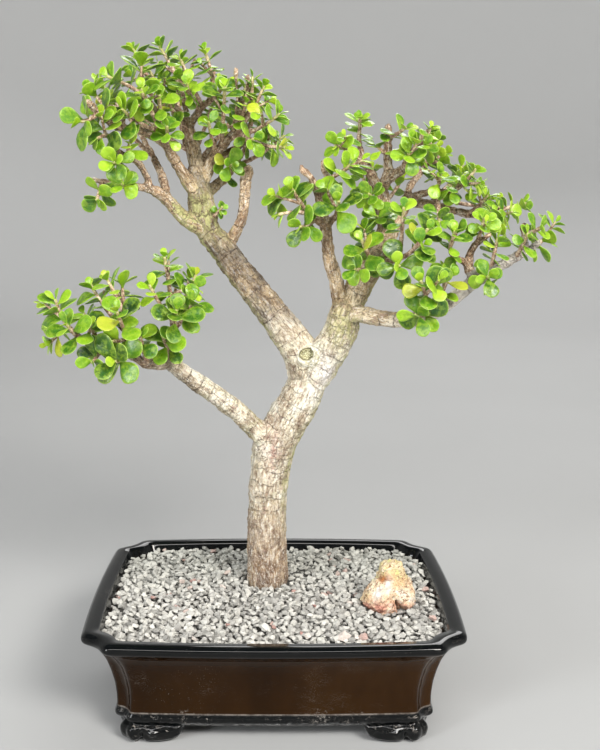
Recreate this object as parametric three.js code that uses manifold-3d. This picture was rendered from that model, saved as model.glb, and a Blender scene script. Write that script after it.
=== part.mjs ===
// A dwarf jade bonsai in its footed rectangular pot, in millimetres, +Z up.
// Everything is laid out with the pot's centre on the Z axis, its front towards -Y and its
// feet at height 0. The finished group is then moved so that its own box is centred on Z.

import * as THREE from "three";
import { mergeVertices } from "three/addons/utils/BufferGeometryUtils.js";
import Module from "manifold-3d";

const manifoldLibrary = await Module();
manifoldLibrary.setup();

// Pot: plan sizes are half widths (X) and half depths (Y) beside the corners
const RIM_TOP = 92.7;
const RIM_HALF = [149, 116];
const RIM_CORNER_CUT = 21;
const BASE_CORNER_CUT = 11;
const RIM_BOW = [3.2, 5]; // how far the middle of a side stands out at the rim
const BASE_BOW = [1.5, 2.5];
const CORNER_COVE = 1.6; // how far each cut corner is hollowed
const CORNER_SOFTENING = 5;
const INSIDE_CUT_LESS = 3; // the inside's corners are cut this much less than the outside's
const BODY_UNDERSIDE = 16.5;
const FLOOR_TOP = 23.5;
// Each row is height, then how far the outside stands in from the rim's outer edge
const POT_OUTSIDE = [
  [16.5, 27.2],
  [18.6, 25.4],
  [20.2, 23.2],
  [22.6, 22.6],
  [24.8, 23.4],
  [26.2, 24.6],
  [36, 24.3],
  [46, 23],
  [57, 20.2],
  [66, 17.2],
  [73, 13.6],
  [79, 9.2],
  [82.6, 5],
  [84.5, 1.6],
  [86.4, 0],
  [90.4, 0],
  [92.7, 3.4],
];
// The same for the inside, from the rim down to the floor
const POT_INSIDE = [
  [92.7, 12],
  [91, 13.4],
  [86, 15.4],
  [77, 20],
  [58, 27.5],
  [36, 31],
  [23.5, 32],
];
const DEPTH_SHARE = 0.85; // the front and back stand in by this much of what the sides do

// Feet: four corner feet, each an L under the base
const FOOT_LENGTH = 52;
const FOOT_WIDTH = 17;
const FOOT_CORNER_CUT = 10;
const FOOT_HALF = [121.8, 96.5]; // half sizes over the outsides of the feet
// Height, how far the foot's outline is drawn in there, and how much shorter its two ends are
const FOOT_PROFILE = [
  [17.5, 1.5, 0],
  [12, 0, 1.5],
  [4.5, 1.8, 8],
  [0, 4.5, 22],
];

// Drainage
const DRAIN_RADIUS = 10;
const DRAIN_X = 58;
const SCREEN_SIZE = 36;
const SCREEN_THICKNESS = 1.2;
const SCREEN_HOLES_ACROSS = 3;
const SCREEN_BAR = 3;

// Filling
const FIT = 0.35; // gap between pieces that touch
const ROOMY_FIT = 0.45; // the same where one of them is curved
const SOIL_TOP = 76;
const GRAVEL_LEVEL = 87.2;
const GRAVEL_MOUND = 1.8;
const GRAVEL_PITCH = 15; // between neighbouring points of the stone relief
const STONE_HEIGHT = 4;
const STONE_SHIFT = 0.44; // how far a point may be from its place, as a share of the pitch
const GRAVEL_SEED = 71;

// Accent rock
const ROCK_CENTRE = [93.5, -24, 99];
const ROCK_HALF = [22.5, 20, 24];
const ROCK_SUNK_TO = 81;
const ROCK_WAIST = 0.1; // how much narrower it is at the top, as a share
const ROCK_LEAN = 3;
const ROCK_LUMPS = 0.1;
const ROCK_RIDGES = 0.07;
const ROCK_CLEFT = 0.16;

// Roots: how far they reach from the stump to the sides and to the front and back
const ROOT_COUNT = 5;
const ROOT_REACH = [74, 46];
const ROOT_FIRST_ANGLE = 20;
// Share of the reach, height and radius
const ROOT_ROUTE = [
  [0.1, 62, 8],
  [0.5, 52, 5.6],
  [1, 43, 3],
];

// Leaves
const LEAF_WIDTH = 0.84; // share of the leaf's length
const LEAF_THICKNESS = 0.14;
const TWIG_TIP_RADIUS = 1.2;
const TWIG_BASE_RADIUS = 2;
const TWIG_SAG = 0.13; // how far a twig hangs below its straight line, as a share of its length
const LEAF_GAP = 0.6;
const LEAF_DROOP = 0.07; // how far the leaf's end bends away from its face, as a share of its length
const LEAF_CROWN = 0.58; // where along the leaf it is thickest
// Half of the rim, along and across, from the root to the end
const LEAF_OUTLINE = [
  [0.02, 0],
  [0.54, 0.5],
  [0.94, 0.29],
];
// Places on a leaf that are tested against its neighbours
const LEAF_PROBES = [
  [0.36, 0],
  [0.62, 0],
  [0.86, 0],
  [1, 0],
  [0.5, 0.4],
  [0.5, -0.4],
  [0.76, 0.46],
  [0.76, -0.46],
];
// Pairs of leaves below a shoot's tip: how far below, the lean from the shoot in degrees, and
// the length as a share of the spray's largest; LEAF_SCALE is the leaf length those suit
const LEAF_SCALE = 15;
const LEAF_PAIRS = [
  [0.3, 26, 0.5],
  [2.6, 46, 0.8],
  [6.2, 64, 1],
  [11, 80, 0.95],
];
const TWIG_PAIRS = [1, 2, 3];
const SHOOT_PAIRS = [2];
const LEAF_BENDS = [0, -22, 20]; // tried in turn, in degrees, until a leaf stands clear
const SHOOT_TURNS = [0, 1.3, 2.6, 3.9, 5.2]; // the same for a shoot, in radians
const SHOOT_ROOM = 3;
// Shoots leave their twig between these shares of it, each moved on by up to SHOOT_SHIFT
const SHOOTS_FROM = 0.35;
const SHOOTS_TO = 0.7;
const SHOOT_SHIFT = 0.1;
const SHOOT_LEAN = [42, 64]; // from the twig, in degrees
const SHOOT_REACH = [0.9, 1.3]; // share of the largest leaf's length
const SHOOT_LEAF_SHARE = 0.9;
const PAIR_TURN = 0.35; // spread of a pair's turn from square to the pair before, in radians
const LEAN_SPREAD = 16;
const LENGTH_SPREAD = 0.28;
const TWIST_SPREAD = 40;
const FOOT_SHARES = [0.1, 0.15, 0.2, 0.25, 0.3, 0.35, 0.4, 0.45, 0.5, 0.55, 0.6, 0.65, 0.7]; // of a twig
const FOOT_ROOM = 0.6; // how far a twig stands out of its limb before its own node starts
const SHOOT_LIFT = 0.35;
const TWIG_SIDES = 3;
const TRUNK_SIDES = 9;
const ROOT_SIDES = 5;
// Least radius at a limb's start, and how many sides it then has
const LIMB_SIDES = [
  [7.5, 7],
  [4.9, 5],
  [0, 4],
];
const SPRAY_SEED = 2000;
// Leaves turn their faces away from the heart of their part of the tree
const OUTWARD_TURN = 0.9;
const HEARTS = {
  low_branch: [-100, 20, 285],
  left_crown: [-62, 32, 430],
  right_crown: [95, 20, 375],
};

// Limbs: routes of [x, y, z, radius]
const LIMBS = {
  trunk: [
    [-6, 28, 50, 13], [-6, 28, 66, 19.5], [-6, 28, 86, 19], [-6, 28, 102, 17.4],
    [-6, 27, 159, 16.7], [-3, 25, 190, 17.1], [1, 23, 211, 17.7], [10, 20, 232, 17.6],
    [24, 17, 257, 16.6], [30, 16, 274, 15.4],
  ],
  leftLimb: [
    [28, 16, 268, 14], [22, 16, 293, 14.6], [13, 17, 308, 14], [-3, 19, 328, 12.9],
    [-20, 21, 349, 11.7], [-41, 24, 376, 10.8], [-54, 26, 392, 10.4], [-59, 28, 410, 11.2],
    [-61, 30, 424, 9.6], [-64, 32, 441, 7.6],
  ],
  rightLimb: [
    [28, 16, 266, 14.4], [42, 12, 289, 14.8], [53, 8, 309, 14.2], [58, 5, 329, 12.4],
  ],
  lowBranch: [
    [0, 21, 212, 10], [-23, 10, 236, 8.6], [-33, 6, 247, 8], [-55, -4, 266, 7.8],
    [-75, -14, 283, 6.4], [-85, -20, 292, 5.6],
  ],
  lowBranchUp: [
    [-83, -19, 290, 4.8], [-82, -22, 303, 4], [-80, -16, 318, 3.3], [-82, -14, 338, 2.6],
  ],
  lowBranchOut: [
    [-82, -19, 290, 4.8], [-94, -26, 291, 4.6], [-105, -30, 294, 4], [-111, -32, 304, 3.4],
    [-115, -30, 321, 2.6],
  ],
  lowBranchFar: [
    [-107, -31, 297, 3.4], [-126, -30, 302, 3], [-144, -28, 306, 2.6], [-157, -30, 317, 2.2],
  ],
  leftTop: [[-62, 31, 430, 7.4], [-66, 34, 459, 5.6], [-71, 36, 480, 4.4]],
  leftTopBack: [[-70, 36, 475, 3.4], [-74, 47, 497, 2.4]],
  leftTopLeft: [[-70, 36, 475, 3.6], [-79, 38, 487, 3], [-89, 41, 498, 2.3]],
  leftTopRight: [[-70, 36, 475, 3.4], [-62, 32, 488, 2.9], [-54, 27, 496, 2.3]],
  leftRight: [[-61, 31, 428, 6.4], [-49, 28, 453, 4.6], [-39, 22, 465, 3.8], [-27, 14, 476, 2.8]],
  leftRightBack: [[-53, 30, 444, 4], [-36, 38, 457, 3.4], [-27, 44, 463, 2.6]],
  leftRightRear: [[-59, 32, 420, 5], [-40, 48, 438, 3.8], [-30, 58, 451, 2.6]],
  leftFront: [
    [-60, 29, 418, 6.6], [-73, 20, 438, 5], [-82, 12, 454, 4.2], [-88, 6, 467, 3.4],
    [-90, -1, 482, 2.4],
  ],
  leftReddish: [
    [-86, 7, 463, 3], [-103, -6, 472, 3.3], [-120, -16, 475, 3.2], [-132, -24, 483, 2.9],
    [-140, -30, 493, 2.6],
  ],
  leftFar: [[-51, 25, 391, 7.6], [-73, 18, 404, 5.8], [-88, 8, 421, 5], [-100, 0, 429, 3.6]],
  leftFarUp: [
    [-99, 0, 427, 3], [-101, -2, 438, 2.8], [-108, -6, 449, 2.6], [-120, -12, 456, 2.3],
    [-125, -18, 466, 2],
  ],
  leftFarRear: [[-86, 9, 419, 4], [-90, 15, 436, 3.4], [-97, 23, 451, 2.8], [-106, 32, 466, 2.2]],
  leftFarLow: [[-99, 0, 428, 3], [-115, -6, 430, 2.6], [-132, -10, 433, 2.3], [-141, -12, 435, 2.2]],
  leftBack: [[-60, 31, 422, 6], [-67, 57, 446, 4.2], [-76, 73, 467, 2.8]],
  leftBackRight: [[-66, 54, 442, 3.8], [-51, 76, 466, 2.6]],
  leftStub: [
    [-40, 24, 377, 5], [-27, 26, 402, 4.4], [-24, 27, 422, 4.5], [-23, 28, 434, 4.8],
    [-21, 28, 442, 4.6],
  ],
  rightLeft: [
    [56, 6, 325, 7], [50, -2, 354, 5.8], [44, -8, 374, 5], [40, -14, 402, 4.4], [35, -18, 421, 3.5],
    [30, -22, 434, 2.8], [25, -24, 441, 2.2],
  ],
  rightLeftTwin: [[36, -18, 417, 2.9], [41, -11, 432, 2.4], [41, -7, 444, 2.1]],
  rightLeftOut: [[41, -13, 398, 3.4], [30, -22, 407, 2.6]],
  rightLeftIn: [[40, -13, 399, 3.4], [51, -5, 408, 2.6]],
  rightMid: [
    [56, 5, 324, 11.8], [72, 8, 354, 10.6], [83, 12, 372, 9.8], [91, 16, 394, 7.6],
    [90, 18, 412, 6.2], [86, 18, 428, 5.4],
  ],
  rightMidLeft: [[87, 18, 422, 4.6], [77, 14, 441, 3.9], [70, 10, 450, 3.3], [60, 4, 457, 2.4]],
  rightMidTop: [[71, 10, 447, 2.9], [68, 8, 463, 2.3]],
  rightMidStub: [
    [86, 18, 423, 4.6], [92, 16, 438, 4.4], [91, 12, 452, 3.4], [91, 10, 466, 3.2],
    [91, 9, 476, 3.1],
  ],
  rightMidFork: [
    [91, 16, 434, 4], [104, 12, 444, 3.6], [110, 6, 456, 3], [115, 2, 465, 2.7], [122, -2, 473, 2.4],
  ],
  rightArm: [
    [56, 6, 325, 8.4], [69, -4, 328, 7], [86, -14, 326, 6.4], [112, -20, 326, 6.1],
    [134, -22, 337, 5.7], [158, -20, 356, 5.2], [183, -14, 370, 4.2], [204, -8, 381, 3],
    [212, -5, 386, 2.3],
  ],
  rightArmUp: [[158, -20, 354, 4.2], [154, -16, 370, 3.6], [158, -12, 383, 2.8], [167, -7, 389, 2.2]],
  rightArmFront: [[154, -16, 369, 2.8], [142, -23, 375, 2.3]],
  rightArmStub: [[200, -9, 378, 2.8], [198, -13, 389, 2.7], [196, -15, 399, 2.9]],
  rightArmLow: [[122, -20, 328, 3.4], [120, -33, 337, 2.5]],
  rightBack: [[91, 14, 384, 6.4], [105, 33, 406, 5], [113, 44, 419, 4.3]],
  rightBackArm: [
    [111, 42, 416, 4.2], [134, 48, 414, 3.8], [152, 50, 409, 3.2], [171, 48, 405, 2.8],
    [187, 44, 409, 2.2],
  ],
  rightBackUp: [[109, 39, 412, 3.8], [114, 50, 428, 3.2], [121, 56, 438, 2.5]],
  rightBackFront: [[112, 43, 418, 3.6], [128, 31, 425, 2.8], [141, 22, 425, 2.3]],
  rightBackRear: [[130, 47, 413, 3.2], [146, 65, 426, 2.3]],
  rightCrook: [[84, 8, 369, 4.2], [93, -12, 372, 3.2], [101, -24, 376, 2.4]],
  rightCrookLeft: [[88, 5, 364, 3], [79, -13, 371, 2.4]],
  rightRear: [[89, 17, 397, 4], [83, 42, 414, 2.8]],
};

// Leafy sprays: the limb each one grows from, how many points along it (with the fraction),
// its tip, the length of its largest leaves, and how many shoots it has
const SPRAYS = {
  low_branch: [
    ["lowBranchUp", 1.6, [-74, -58, 338], 21, 1],
    ["lowBranchUp", 3, [-86, -20, 375], 15, 2],
    ["lowBranchUp", 2.5, [-63, -4, 359], 17, 2],
    ["lowBranchUp", 2.3, [-97, -30, 354], 14, 1],
    ["lowBranchFar", 0.5, [-121, -58, 299], 23, 1],
    ["lowBranchFar", 2.3, [-159, -50, 326], 20, 1],
    ["lowBranchFar", 3, [-170, -34, 343], 19, 2],
    ["lowBranchOut", 3.6, [-144, -22, 353], 17, 2],
    ["lowBranchOut", 4, [-121, -12, 356], 16, 2],
    ["lowBranchOut", 3.2, [-119, -56, 337], 20, 1],
  ],
  left_crown: [
    ["leftTopBack", 1, [-95, 60, 543], 15, 3],
    ["leftTopLeft", 2, [-115, 46, 539], 14, 2],
    ["leftTopLeft", 1.4, [-115, 26, 518], 14, 2],
    ["leftFront", 4, [-128, -10, 513], 19, 2],
    ["leftReddish", 1.6, [-142, -2, 504], 16, 2],
    ["leftReddish", 3.2, [-144, -40, 478], 22, 1],
    ["leftFront", 3.4, [-114, -34, 487], 19, 1],
    ["leftFarUp", 4, [-134, -30, 466], 18, 2],
    ["leftFarUp", 2.6, [-121, -38, 448], 14, 1],
    ["leftFarLow", 2.3, [-137, -26, 420], 16, 1],
    ["leftFarLow", 1.2, [-116, -30, 432], 15, 1],
    ["leftFront", 3.7, [-100, -34, 502], 14, 2],
    ["leftTopRight", 1.2, [-68, -2, 508], 14, 2],
    ["leftTopRight", 2, [-55, 16, 535], 14, 3],
    ["leftRight", 1.6, [-38, -8, 505], 16, 2],
    ["leftRight", 3, [-8, 8, 507], 14, 2],
    ["leftRight", 2.2, [4, -4, 485], 15, 2],
    ["leftRightBack", 2, [-2, 50, 469], 18, 2],
    ["leftRightRear", 2, [-19, 78, 498], 15, 2],
    ["leftBack", 2, [-83, 98, 533], 15, 3],
    ["leftFarRear", 3, [-145, 50, 514], 15, 2],
  ],
  right_crown: [
    ["rightLeftOut", 1, [14, -36, 428], 18, 2],
    ["rightLeftIn", 0.7, [49, -42, 419], 19, 2],
    ["rightLeftTwin", 1.3, [58, -26, 446], 17, 2],
    ["rightMidLeft", 3, [48, -8, 461], 14, 2],
    ["rightMidTop", 1, [69, 4, 481], 13, 2],
    ["rightMidStub", 3.2, [103, -2, 475], 14, 1],
    ["rightMidFork", 1.6, [104, -18, 455], 15, 2],
    ["rightMidFork", 3.2, [129, 14, 461], 13, 2],
    ["rightBackUp", 2, [146, 62, 457], 13, 2],
    ["rightBackFront", 2, [161, 8, 443], 13, 3],
    ["rightBackArm", 4, [210, 42, 415], 13, 2],
    ["rightBackArm", 2.6, [175, 26, 422], 13, 2],
    ["rightArmUp", 3, [181, -2, 397], 14, 2],
    ["rightArm", 8, [218, -2, 389], 15, 2],
    ["rightArmFront", 1, [138, -40, 396], 15, 2],
    ["rightCrook", 2, [117, -40, 398], 18, 2],
    ["rightCrook", 1.4, [95, -48, 371], 18, 1],
    ["rightCrookLeft", 1, [68, -32, 389], 19, 2],
    ["rightArmLow", 1, [111, -54, 360], 18, 2],
    ["rightArmLow", 0.6, [108, -52, 334], 19, 1],
    ["rightBackRear", 1, [164, 84, 446], 14, 2],
    ["rightRear", 1, [76, 76, 439], 15, 2],
  ],
};

// A repeatable run of numbers from 0 to 1
function seededRandom(seed) {
  let state = seed >>> 0;
  return () => {
    state = (state + 0x6d2b79f5) >>> 0;
    let mixed = Math.imul(state ^ (state >>> 15), state | 1);
    mixed ^= mixed + Math.imul(mixed ^ (mixed >>> 7), mixed | 61);
    return ((mixed ^ (mixed >>> 14)) >>> 0) / 4294967296;
  };
}

const vector = (row) => new THREE.Vector3(row[0], row[1], row[2]);
const mix = (a, b, share) => a.clone().lerp(b, share);
const { lerp, degToRad: radians } = THREE.MathUtils;

// Geometry from points and triangles that already share their corners
function geometryOf(points, triangles) {
  const geometry = new THREE.BufferGeometry();
  geometry.setAttribute(
    "position",
    new THREE.Float32BufferAttribute(points.flatMap((p) => [p.x, p.y, p.z]), 3),
  );
  geometry.setIndex(triangles.flat());
  return geometry;
}

function solidOf(geometry) {
  const bare = geometry.clone();
  bare.deleteAttribute("normal");
  bare.deleteAttribute("uv");
  const merged = mergeVertices(bare, 1e-3);
  return new manifoldLibrary.Manifold(
    new manifoldLibrary.Mesh({
      numProp: 3,
      vertProperties: new Float32Array(merged.attributes.position.array),
      triVerts: new Uint32Array(merged.index.array),
    }),
  );
}

function geometryFrom(solid) {
  const mesh = solid.getMesh();
  const positions = new Float32Array(mesh.numVert * 3);
  for (let i = 0; i < mesh.numVert; i++) {
    const start = i * mesh.numProp;
    positions.set(mesh.vertProperties.subarray(start, start + 3), i * 3);
  }
  const geometry = new THREE.BufferGeometry();
  geometry.setAttribute("position", new THREE.BufferAttribute(positions, 3));
  geometry.setIndex(new THREE.BufferAttribute(mesh.triVerts, 1));
  geometry.computeVertexNormals();
  return geometry;
}

const joined = (solids) => solids.reduce((whole, next) => whole.add(next));

// A closed skin over rings of equal length; rings run from the bottom of the skin's start
// cap to its end cap, each turning the same way seen from the end
function loft(rings) {
  const count = rings[0].length;
  const points = rings.flat();
  const triangles = [];
  for (let r = 0; r + 1 < rings.length; r++) {
    for (let i = 0; i < count; i++) {
      const j = (i + 1) % count;
      const [a, b] = [r * count + i, r * count + j];
      triangles.push([a, b, b + count], [a, b + count, a + count]);
    }
  }
  const last = (rings.length - 1) * count;
  for (const [a, b, c] of capOf(rings[0])) triangles.push([a, c, b]);
  for (const [a, b, c] of capOf(rings.at(-1))) triangles.push([last + a, last + b, last + c]);
  return geometryOf(points, triangles);
}

// Triangles over a flat ring, turning the same way as the ring
function capOf(ring) {
  const centre = ring.reduce((sum, p) => sum.add(p), new THREE.Vector3()).divideScalar(ring.length);
  const normal = new THREE.Vector3();
  ring.forEach((p, i) => {
    const q = ring[(i + 1) % ring.length];
    normal.add(p.clone().sub(centre).cross(q.clone().sub(centre)));
  });
  normal.normalize();
  const across = ring[0].clone().sub(centre).projectOnPlane(normal).normalize();
  const up = normal.clone().cross(across);
  const flat = ring.map((p) => {
    const from = p.clone().sub(centre);
    return new THREE.Vector2(from.dot(across), from.dot(up));
  });
  return THREE.ShapeUtils.triangulateShape(flat, []);
}

// A tapered tube with a ring square to each tangent
function tubeAlong(centres, radii, tangents, sides) {
  const start = Math.abs(tangents[0].z) < 0.9 ? new THREE.Vector3(0, 0, 1) : new THREE.Vector3(1, 0, 0);
  let across = start.cross(tangents[0]).normalize();
  const rings = centres.map((centre, i) => {
    across = across.clone().projectOnPlane(tangents[i]).normalize();
    const up = tangents[i].clone().cross(across);
    return Array.from({ length: sides }, (_, k) => {
      const angle = (2 * Math.PI * k) / sides;
      return centre
        .clone()
        .addScaledVector(across, radii[i] * Math.cos(angle))
        .addScaledVector(up, radii[i] * Math.sin(angle));
    });
  });
  return solidOf(loft(rings));
}

// A limb through its route's points; grow makes the slightly larger space that it needs
function limbSolid(route, sides, grow = 0) {
  const centres = route.map(vector);
  const last = centres.length - 1;
  const tangents = centres.map((_, i) =>
    centres[Math.min(i + 1, last)].clone().sub(centres[Math.max(i - 1, 0)]).normalize(),
  );
  centres[0].addScaledVector(tangents[0], -grow);
  centres[last].addScaledVector(tangents[last], grow);
  return tubeAlong(centres, route.map((row) => row[3] + grow), tangents, sides);
}

function limbSides(name, route) {
  if (name === "trunk") return TRUNK_SIDES;
  return LIMB_SIDES.find(([least]) => route[0][3] > least)[1];
}

// The pot's plan outline, counter-clockwise: bowed sides and hollowed cut corners
function potOutline(height, inset, cutLess = 0) {
  const share = (height - BODY_UNDERSIDE) / (RIM_TOP - BODY_UNDERSIDE);
  const cut = lerp(BASE_CORNER_CUT, RIM_CORNER_CUT, share) - cutLess;
  const bowX = lerp(BASE_BOW[0], RIM_BOW[0], share);
  const bowY = lerp(BASE_BOW[1], RIM_BOW[1], share);
  const halfX = RIM_HALF[0] - inset;
  const halfY = RIM_HALF[1] - DEPTH_SHARE * inset;
  const softening = CORNER_SOFTENING / 2;
  const slant = softening * Math.SQRT1_2;
  const pull = CORNER_COVE * Math.SQRT1_2;
  const quarter = [
    [halfX + bowX, 0],
    [halfX, halfY - cut - softening],
    [halfX - slant, halfY - cut + slant],
    [halfX - cut / 2 - pull, halfY - cut / 2 - pull],
    [halfX - cut + slant, halfY - slant],
    [halfX - cut - softening, halfY],
  ];
  const back = [[0, halfY + bowY], ...quarter.slice(1).reverse().map(([x, y]) => [-x, y])];
  const half = [...quarter, ...back];
  const whole = [...half, ...half.map(([x, y]) => [-x, -y])];
  return whole.map(([x, y]) => new THREE.Vector3(x, y, height));
}

function potFoot(signX, signY) {
  const [halfX, halfY] = FOOT_HALF;
  const rings = FOOT_PROFILE.map(([height, inset, shorter]) => {
    const x = halfX - inset;
    const y = halfY - inset;
    const endX = halfX - FOOT_LENGTH + shorter;
    const endY = halfY - FOOT_LENGTH + shorter;
    const thick = FOOT_WIDTH - inset / 2;
    const plan = [
      [x, endY],
      [x, y - FOOT_CORNER_CUT],
      [x - FOOT_CORNER_CUT, y],
      [endX, y],
      [endX, halfY - thick],
      [halfX - thick, halfY - thick],
      [halfX - thick, endY],
    ];
    const placed = plan.map(([px, py]) => new THREE.Vector3(signX * px, signY * py, height));
    return signX * signY > 0 ? placed : placed.reverse();
  });
  return solidOf(loft(rings.reverse()));
}

function drainHoles() {
  return [-DRAIN_X, DRAIN_X].map((x) => {
    const hole = new THREE.CylinderGeometry(DRAIN_RADIUS, DRAIN_RADIUS, 3 * FLOOR_TOP, 14);
    hole.rotateX(Math.PI / 2);
    hole.translate(x, 0, FLOOR_TOP);
    return solidOf(hole);
  });
}

function potSolid() {
  const outside = POT_OUTSIDE.map(([height, inset]) => potOutline(height, inset));
  const inside = POT_INSIDE.map(([height, inset]) => potOutline(height, inset, INSIDE_CUT_LESS));
  let pot = solidOf(loft([...outside, ...inside]));
  for (const [signX, signY] of [[1, 1], [-1, 1], [-1, -1], [1, -1]]) {
    pot = pot.add(potFoot(signX, signY));
  }
  return drainHoles().reduce((solid, hole) => solid.subtract(hole), pot);
}

// A square plastic net that lies over one drain hole
function screenSolid(x) {
  const pitch = (SCREEN_SIZE - SCREEN_BAR) / SCREEN_HOLES_ACROSS;
  const opening = pitch - SCREEN_BAR;
  const middle = FLOOR_TOP + FIT + SCREEN_THICKNESS / 2;
  const plate = new THREE.BoxGeometry(SCREEN_SIZE, SCREEN_SIZE, SCREEN_THICKNESS);
  plate.translate(x, 0, middle);
  let net = solidOf(plate);
  for (let column = 0; column < SCREEN_HOLES_ACROSS; column++) {
    for (let row = 0; row < SCREEN_HOLES_ACROSS; row++) {
      const hole = new THREE.BoxGeometry(opening, opening, 3 * SCREEN_THICKNESS);
      const shift = (1 - SCREEN_HOLES_ACROSS) / 2;
      hole.translate(x + (column + shift) * pitch, (row + shift) * pitch, middle);
      net = net.subtract(solidOf(hole));
    }
  }
  return net;
}

// The inside of the pot between two heights, a little smaller all round
function potFilling(low, high) {
  const insetAt = (height) => {
    const rows = POT_INSIDE;
    const next = rows.findIndex(([rowHeight]) => rowHeight <= height);
    const [above, below] = [rows[next - 1], rows[next]];
    return THREE.MathUtils.mapLinear(height, above[0], below[0], above[1], below[1]);
  };
  const between = POT_INSIDE.map(([height]) => height).filter((h) => h > low + 1 && h < high - 1);
  const heights = [low, ...between.reverse(), high];
  const outline = (height) => potOutline(height, insetAt(height) + ROOMY_FIT, INSIDE_CUT_LESS);
  return solidOf(loft(heights.map(outline)));
}

// The stump below the gravel with its thick roots; grow makes the space they need in the soil
function rootSolids(grow = 0) {
  const [x, y] = LIMBS.trunk[0];
  return Array.from({ length: ROOT_COUNT }, (_, i) => {
    const angle = radians(ROOT_FIRST_ANGLE + (360 / ROOT_COUNT) * i);
    const route = ROOT_ROUTE.map(([share, height, radius]) => [
      x + ROOT_REACH[0] * share * Math.cos(angle),
      y + ROOT_REACH[1] * share * Math.sin(angle),
      height,
      radius,
    ]);
    return limbSolid(route, ROOT_SIDES, grow);
  });
}

function stumpSpace() {
  return joined([limbSolid(LIMBS.trunk.slice(0, 4), TRUNK_SIDES, FIT), ...rootSolids(ROOMY_FIT)]);
}

function soilSolid(space) {
  const screens = [-DRAIN_X, DRAIN_X].map((x) => {
    const side = SCREEN_SIZE + 2 * FIT;
    const recess = new THREE.BoxGeometry(side, side, 2 * (SCREEN_THICKNESS + 2 * FIT));
    recess.translate(x, 0, FLOOR_TOP);
    return solidOf(recess);
  });
  const filling = potFilling(FLOOR_TOP + FIT, SOIL_TOP);
  return screens.reduce((soil, recess) => soil.subtract(recess), filling).subtract(space);
}

// Gravel: a lattice of stone tops and the gaps between them
function gravelTop(x, y) {
  const fall = (x / RIM_HALF[0]) ** 2 + (y / RIM_HALF[1]) ** 2;
  return GRAVEL_LEVEL + GRAVEL_MOUND * (1 - fall);
}

function gravelSolid(space, rockSpace) {
  const random = seededRandom(GRAVEL_SEED);
  const columns = Math.ceil((2 * RIM_HALF[0]) / GRAVEL_PITCH);
  const rows = Math.ceil((2 * RIM_HALF[1]) / GRAVEL_PITCH);
  const [points, triangles] = [[], []];
  for (let j = 0; j <= rows; j++) {
    for (let i = 0; i <= columns; i++) {
      const x = (i - columns / 2 + STONE_SHIFT * (random() - 0.5)) * GRAVEL_PITCH;
      const y = (j - rows / 2 + STONE_SHIFT * (random() - 0.5)) * GRAVEL_PITCH;
      const stone = (i + j) % 2 === 0 ? STONE_HEIGHT * (0.45 + 0.55 * random()) : 0;
      points.push(new THREE.Vector3(x, y, gravelTop(x, y) - STONE_HEIGHT / 2 + stone));
    }
  }
  const across = columns + 1;
  for (let j = 0; j < rows; j++) {
    for (let i = 0; i < columns; i++) {
      const corner = j * across + i;
      const [a, b, c, d] = [corner, corner + 1, corner + across + 1, corner + across];
      triangles.push(...((i + j) % 2 === 0 ? [[a, b, d], [b, c, d]] : [[a, b, c], [a, c, d]]));
    }
  }
  const edge = [
    ...Array.from({ length: columns }, (_, i) => i),
    ...Array.from({ length: rows }, (_, j) => j * across + columns),
    ...Array.from({ length: columns }, (_, i) => rows * across + columns - i),
    ...Array.from({ length: rows }, (_, j) => (rows - j) * across),
  ];
  const below = edge.map((n) => new THREE.Vector3(points[n].x, points[n].y, SOIL_TOP + FIT));
  const first = points.length;
  points.push(...below);
  edge.forEach((top, i) => {
    const next = (i + 1) % edge.length;
    triangles.push([top, first + i, first + next], [top, first + next, edge[next]]);
  });
  for (const [a, b, c] of capOf(below)) triangles.push([first + a, first + c, first + b]);
  const bed = solidOf(geometryOf(points, triangles));
  const inside = potFilling(SOIL_TOP + FIT / 2, RIM_TOP - 1);
  return bed.intersect(inside).subtract(space).subtract(rockSpace);
}

// A rough stone, broader below, with a knob that leans to the right at its top
function rockSolid(grow = 0) {
  const loose = new THREE.IcosahedronGeometry(1, 2);
  loose.deleteAttribute("normal");
  loose.deleteAttribute("uv");
  const ball = mergeVertices(loose, 1e-4);
  const position = ball.attributes.position;
  const point = new THREE.Vector3();
  for (let i = 0; i < position.count; i++) {
    point.fromBufferAttribute(position, i);
    const { x, y, z } = point;
    const lumps = ROCK_LUMPS * Math.sin(5.1 * x + 2.3 * z) * Math.cos(4.3 * y - 1.7 * x);
    const ridges = ROCK_RIDGES * Math.sin(9 * z + 6 * x);
    const waist = 1 - ROCK_WAIST * THREE.MathUtils.smoothstep(z, 0, 1);
    const cleft = ROCK_CLEFT * Math.exp(-(((x - 0.2) / 0.22) ** 2) - ((y + 0.75) / 0.4) ** 2);
    const reach = 1 + lumps + ridges - cleft;
    const placed = [
      x * waist * reach * (ROCK_HALF[0] + grow) + ROCK_LEAN * z,
      y * waist * reach * (ROCK_HALF[1] + grow),
      z * reach * (ROCK_HALF[2] + grow),
    ];
    const height = Math.max(ROCK_CENTRE[2] + placed[2], ROCK_SUNK_TO - grow);
    position.setXYZ(i, ROCK_CENTRE[0] + placed[0], ROCK_CENTRE[1] + placed[1], height);
  }
  return solidOf(ball);
}

// Growth of the leafy sprays

function limbPoint(limb, at) {
  const route = LIMBS[limb];
  const step = Math.min(Math.floor(at), route.length - 2);
  return mix(vector(route[step]), vector(route[step + 1]), at - step);
}

// Two directions square to an axis
function framed(axis) {
  const helper = Math.abs(axis.z) < 0.9 ? new THREE.Vector3(0, 0, 1) : new THREE.Vector3(1, 0, 0);
  const across = helper.cross(axis).normalize();
  return [across, axis.clone().cross(across)];
}

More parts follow.
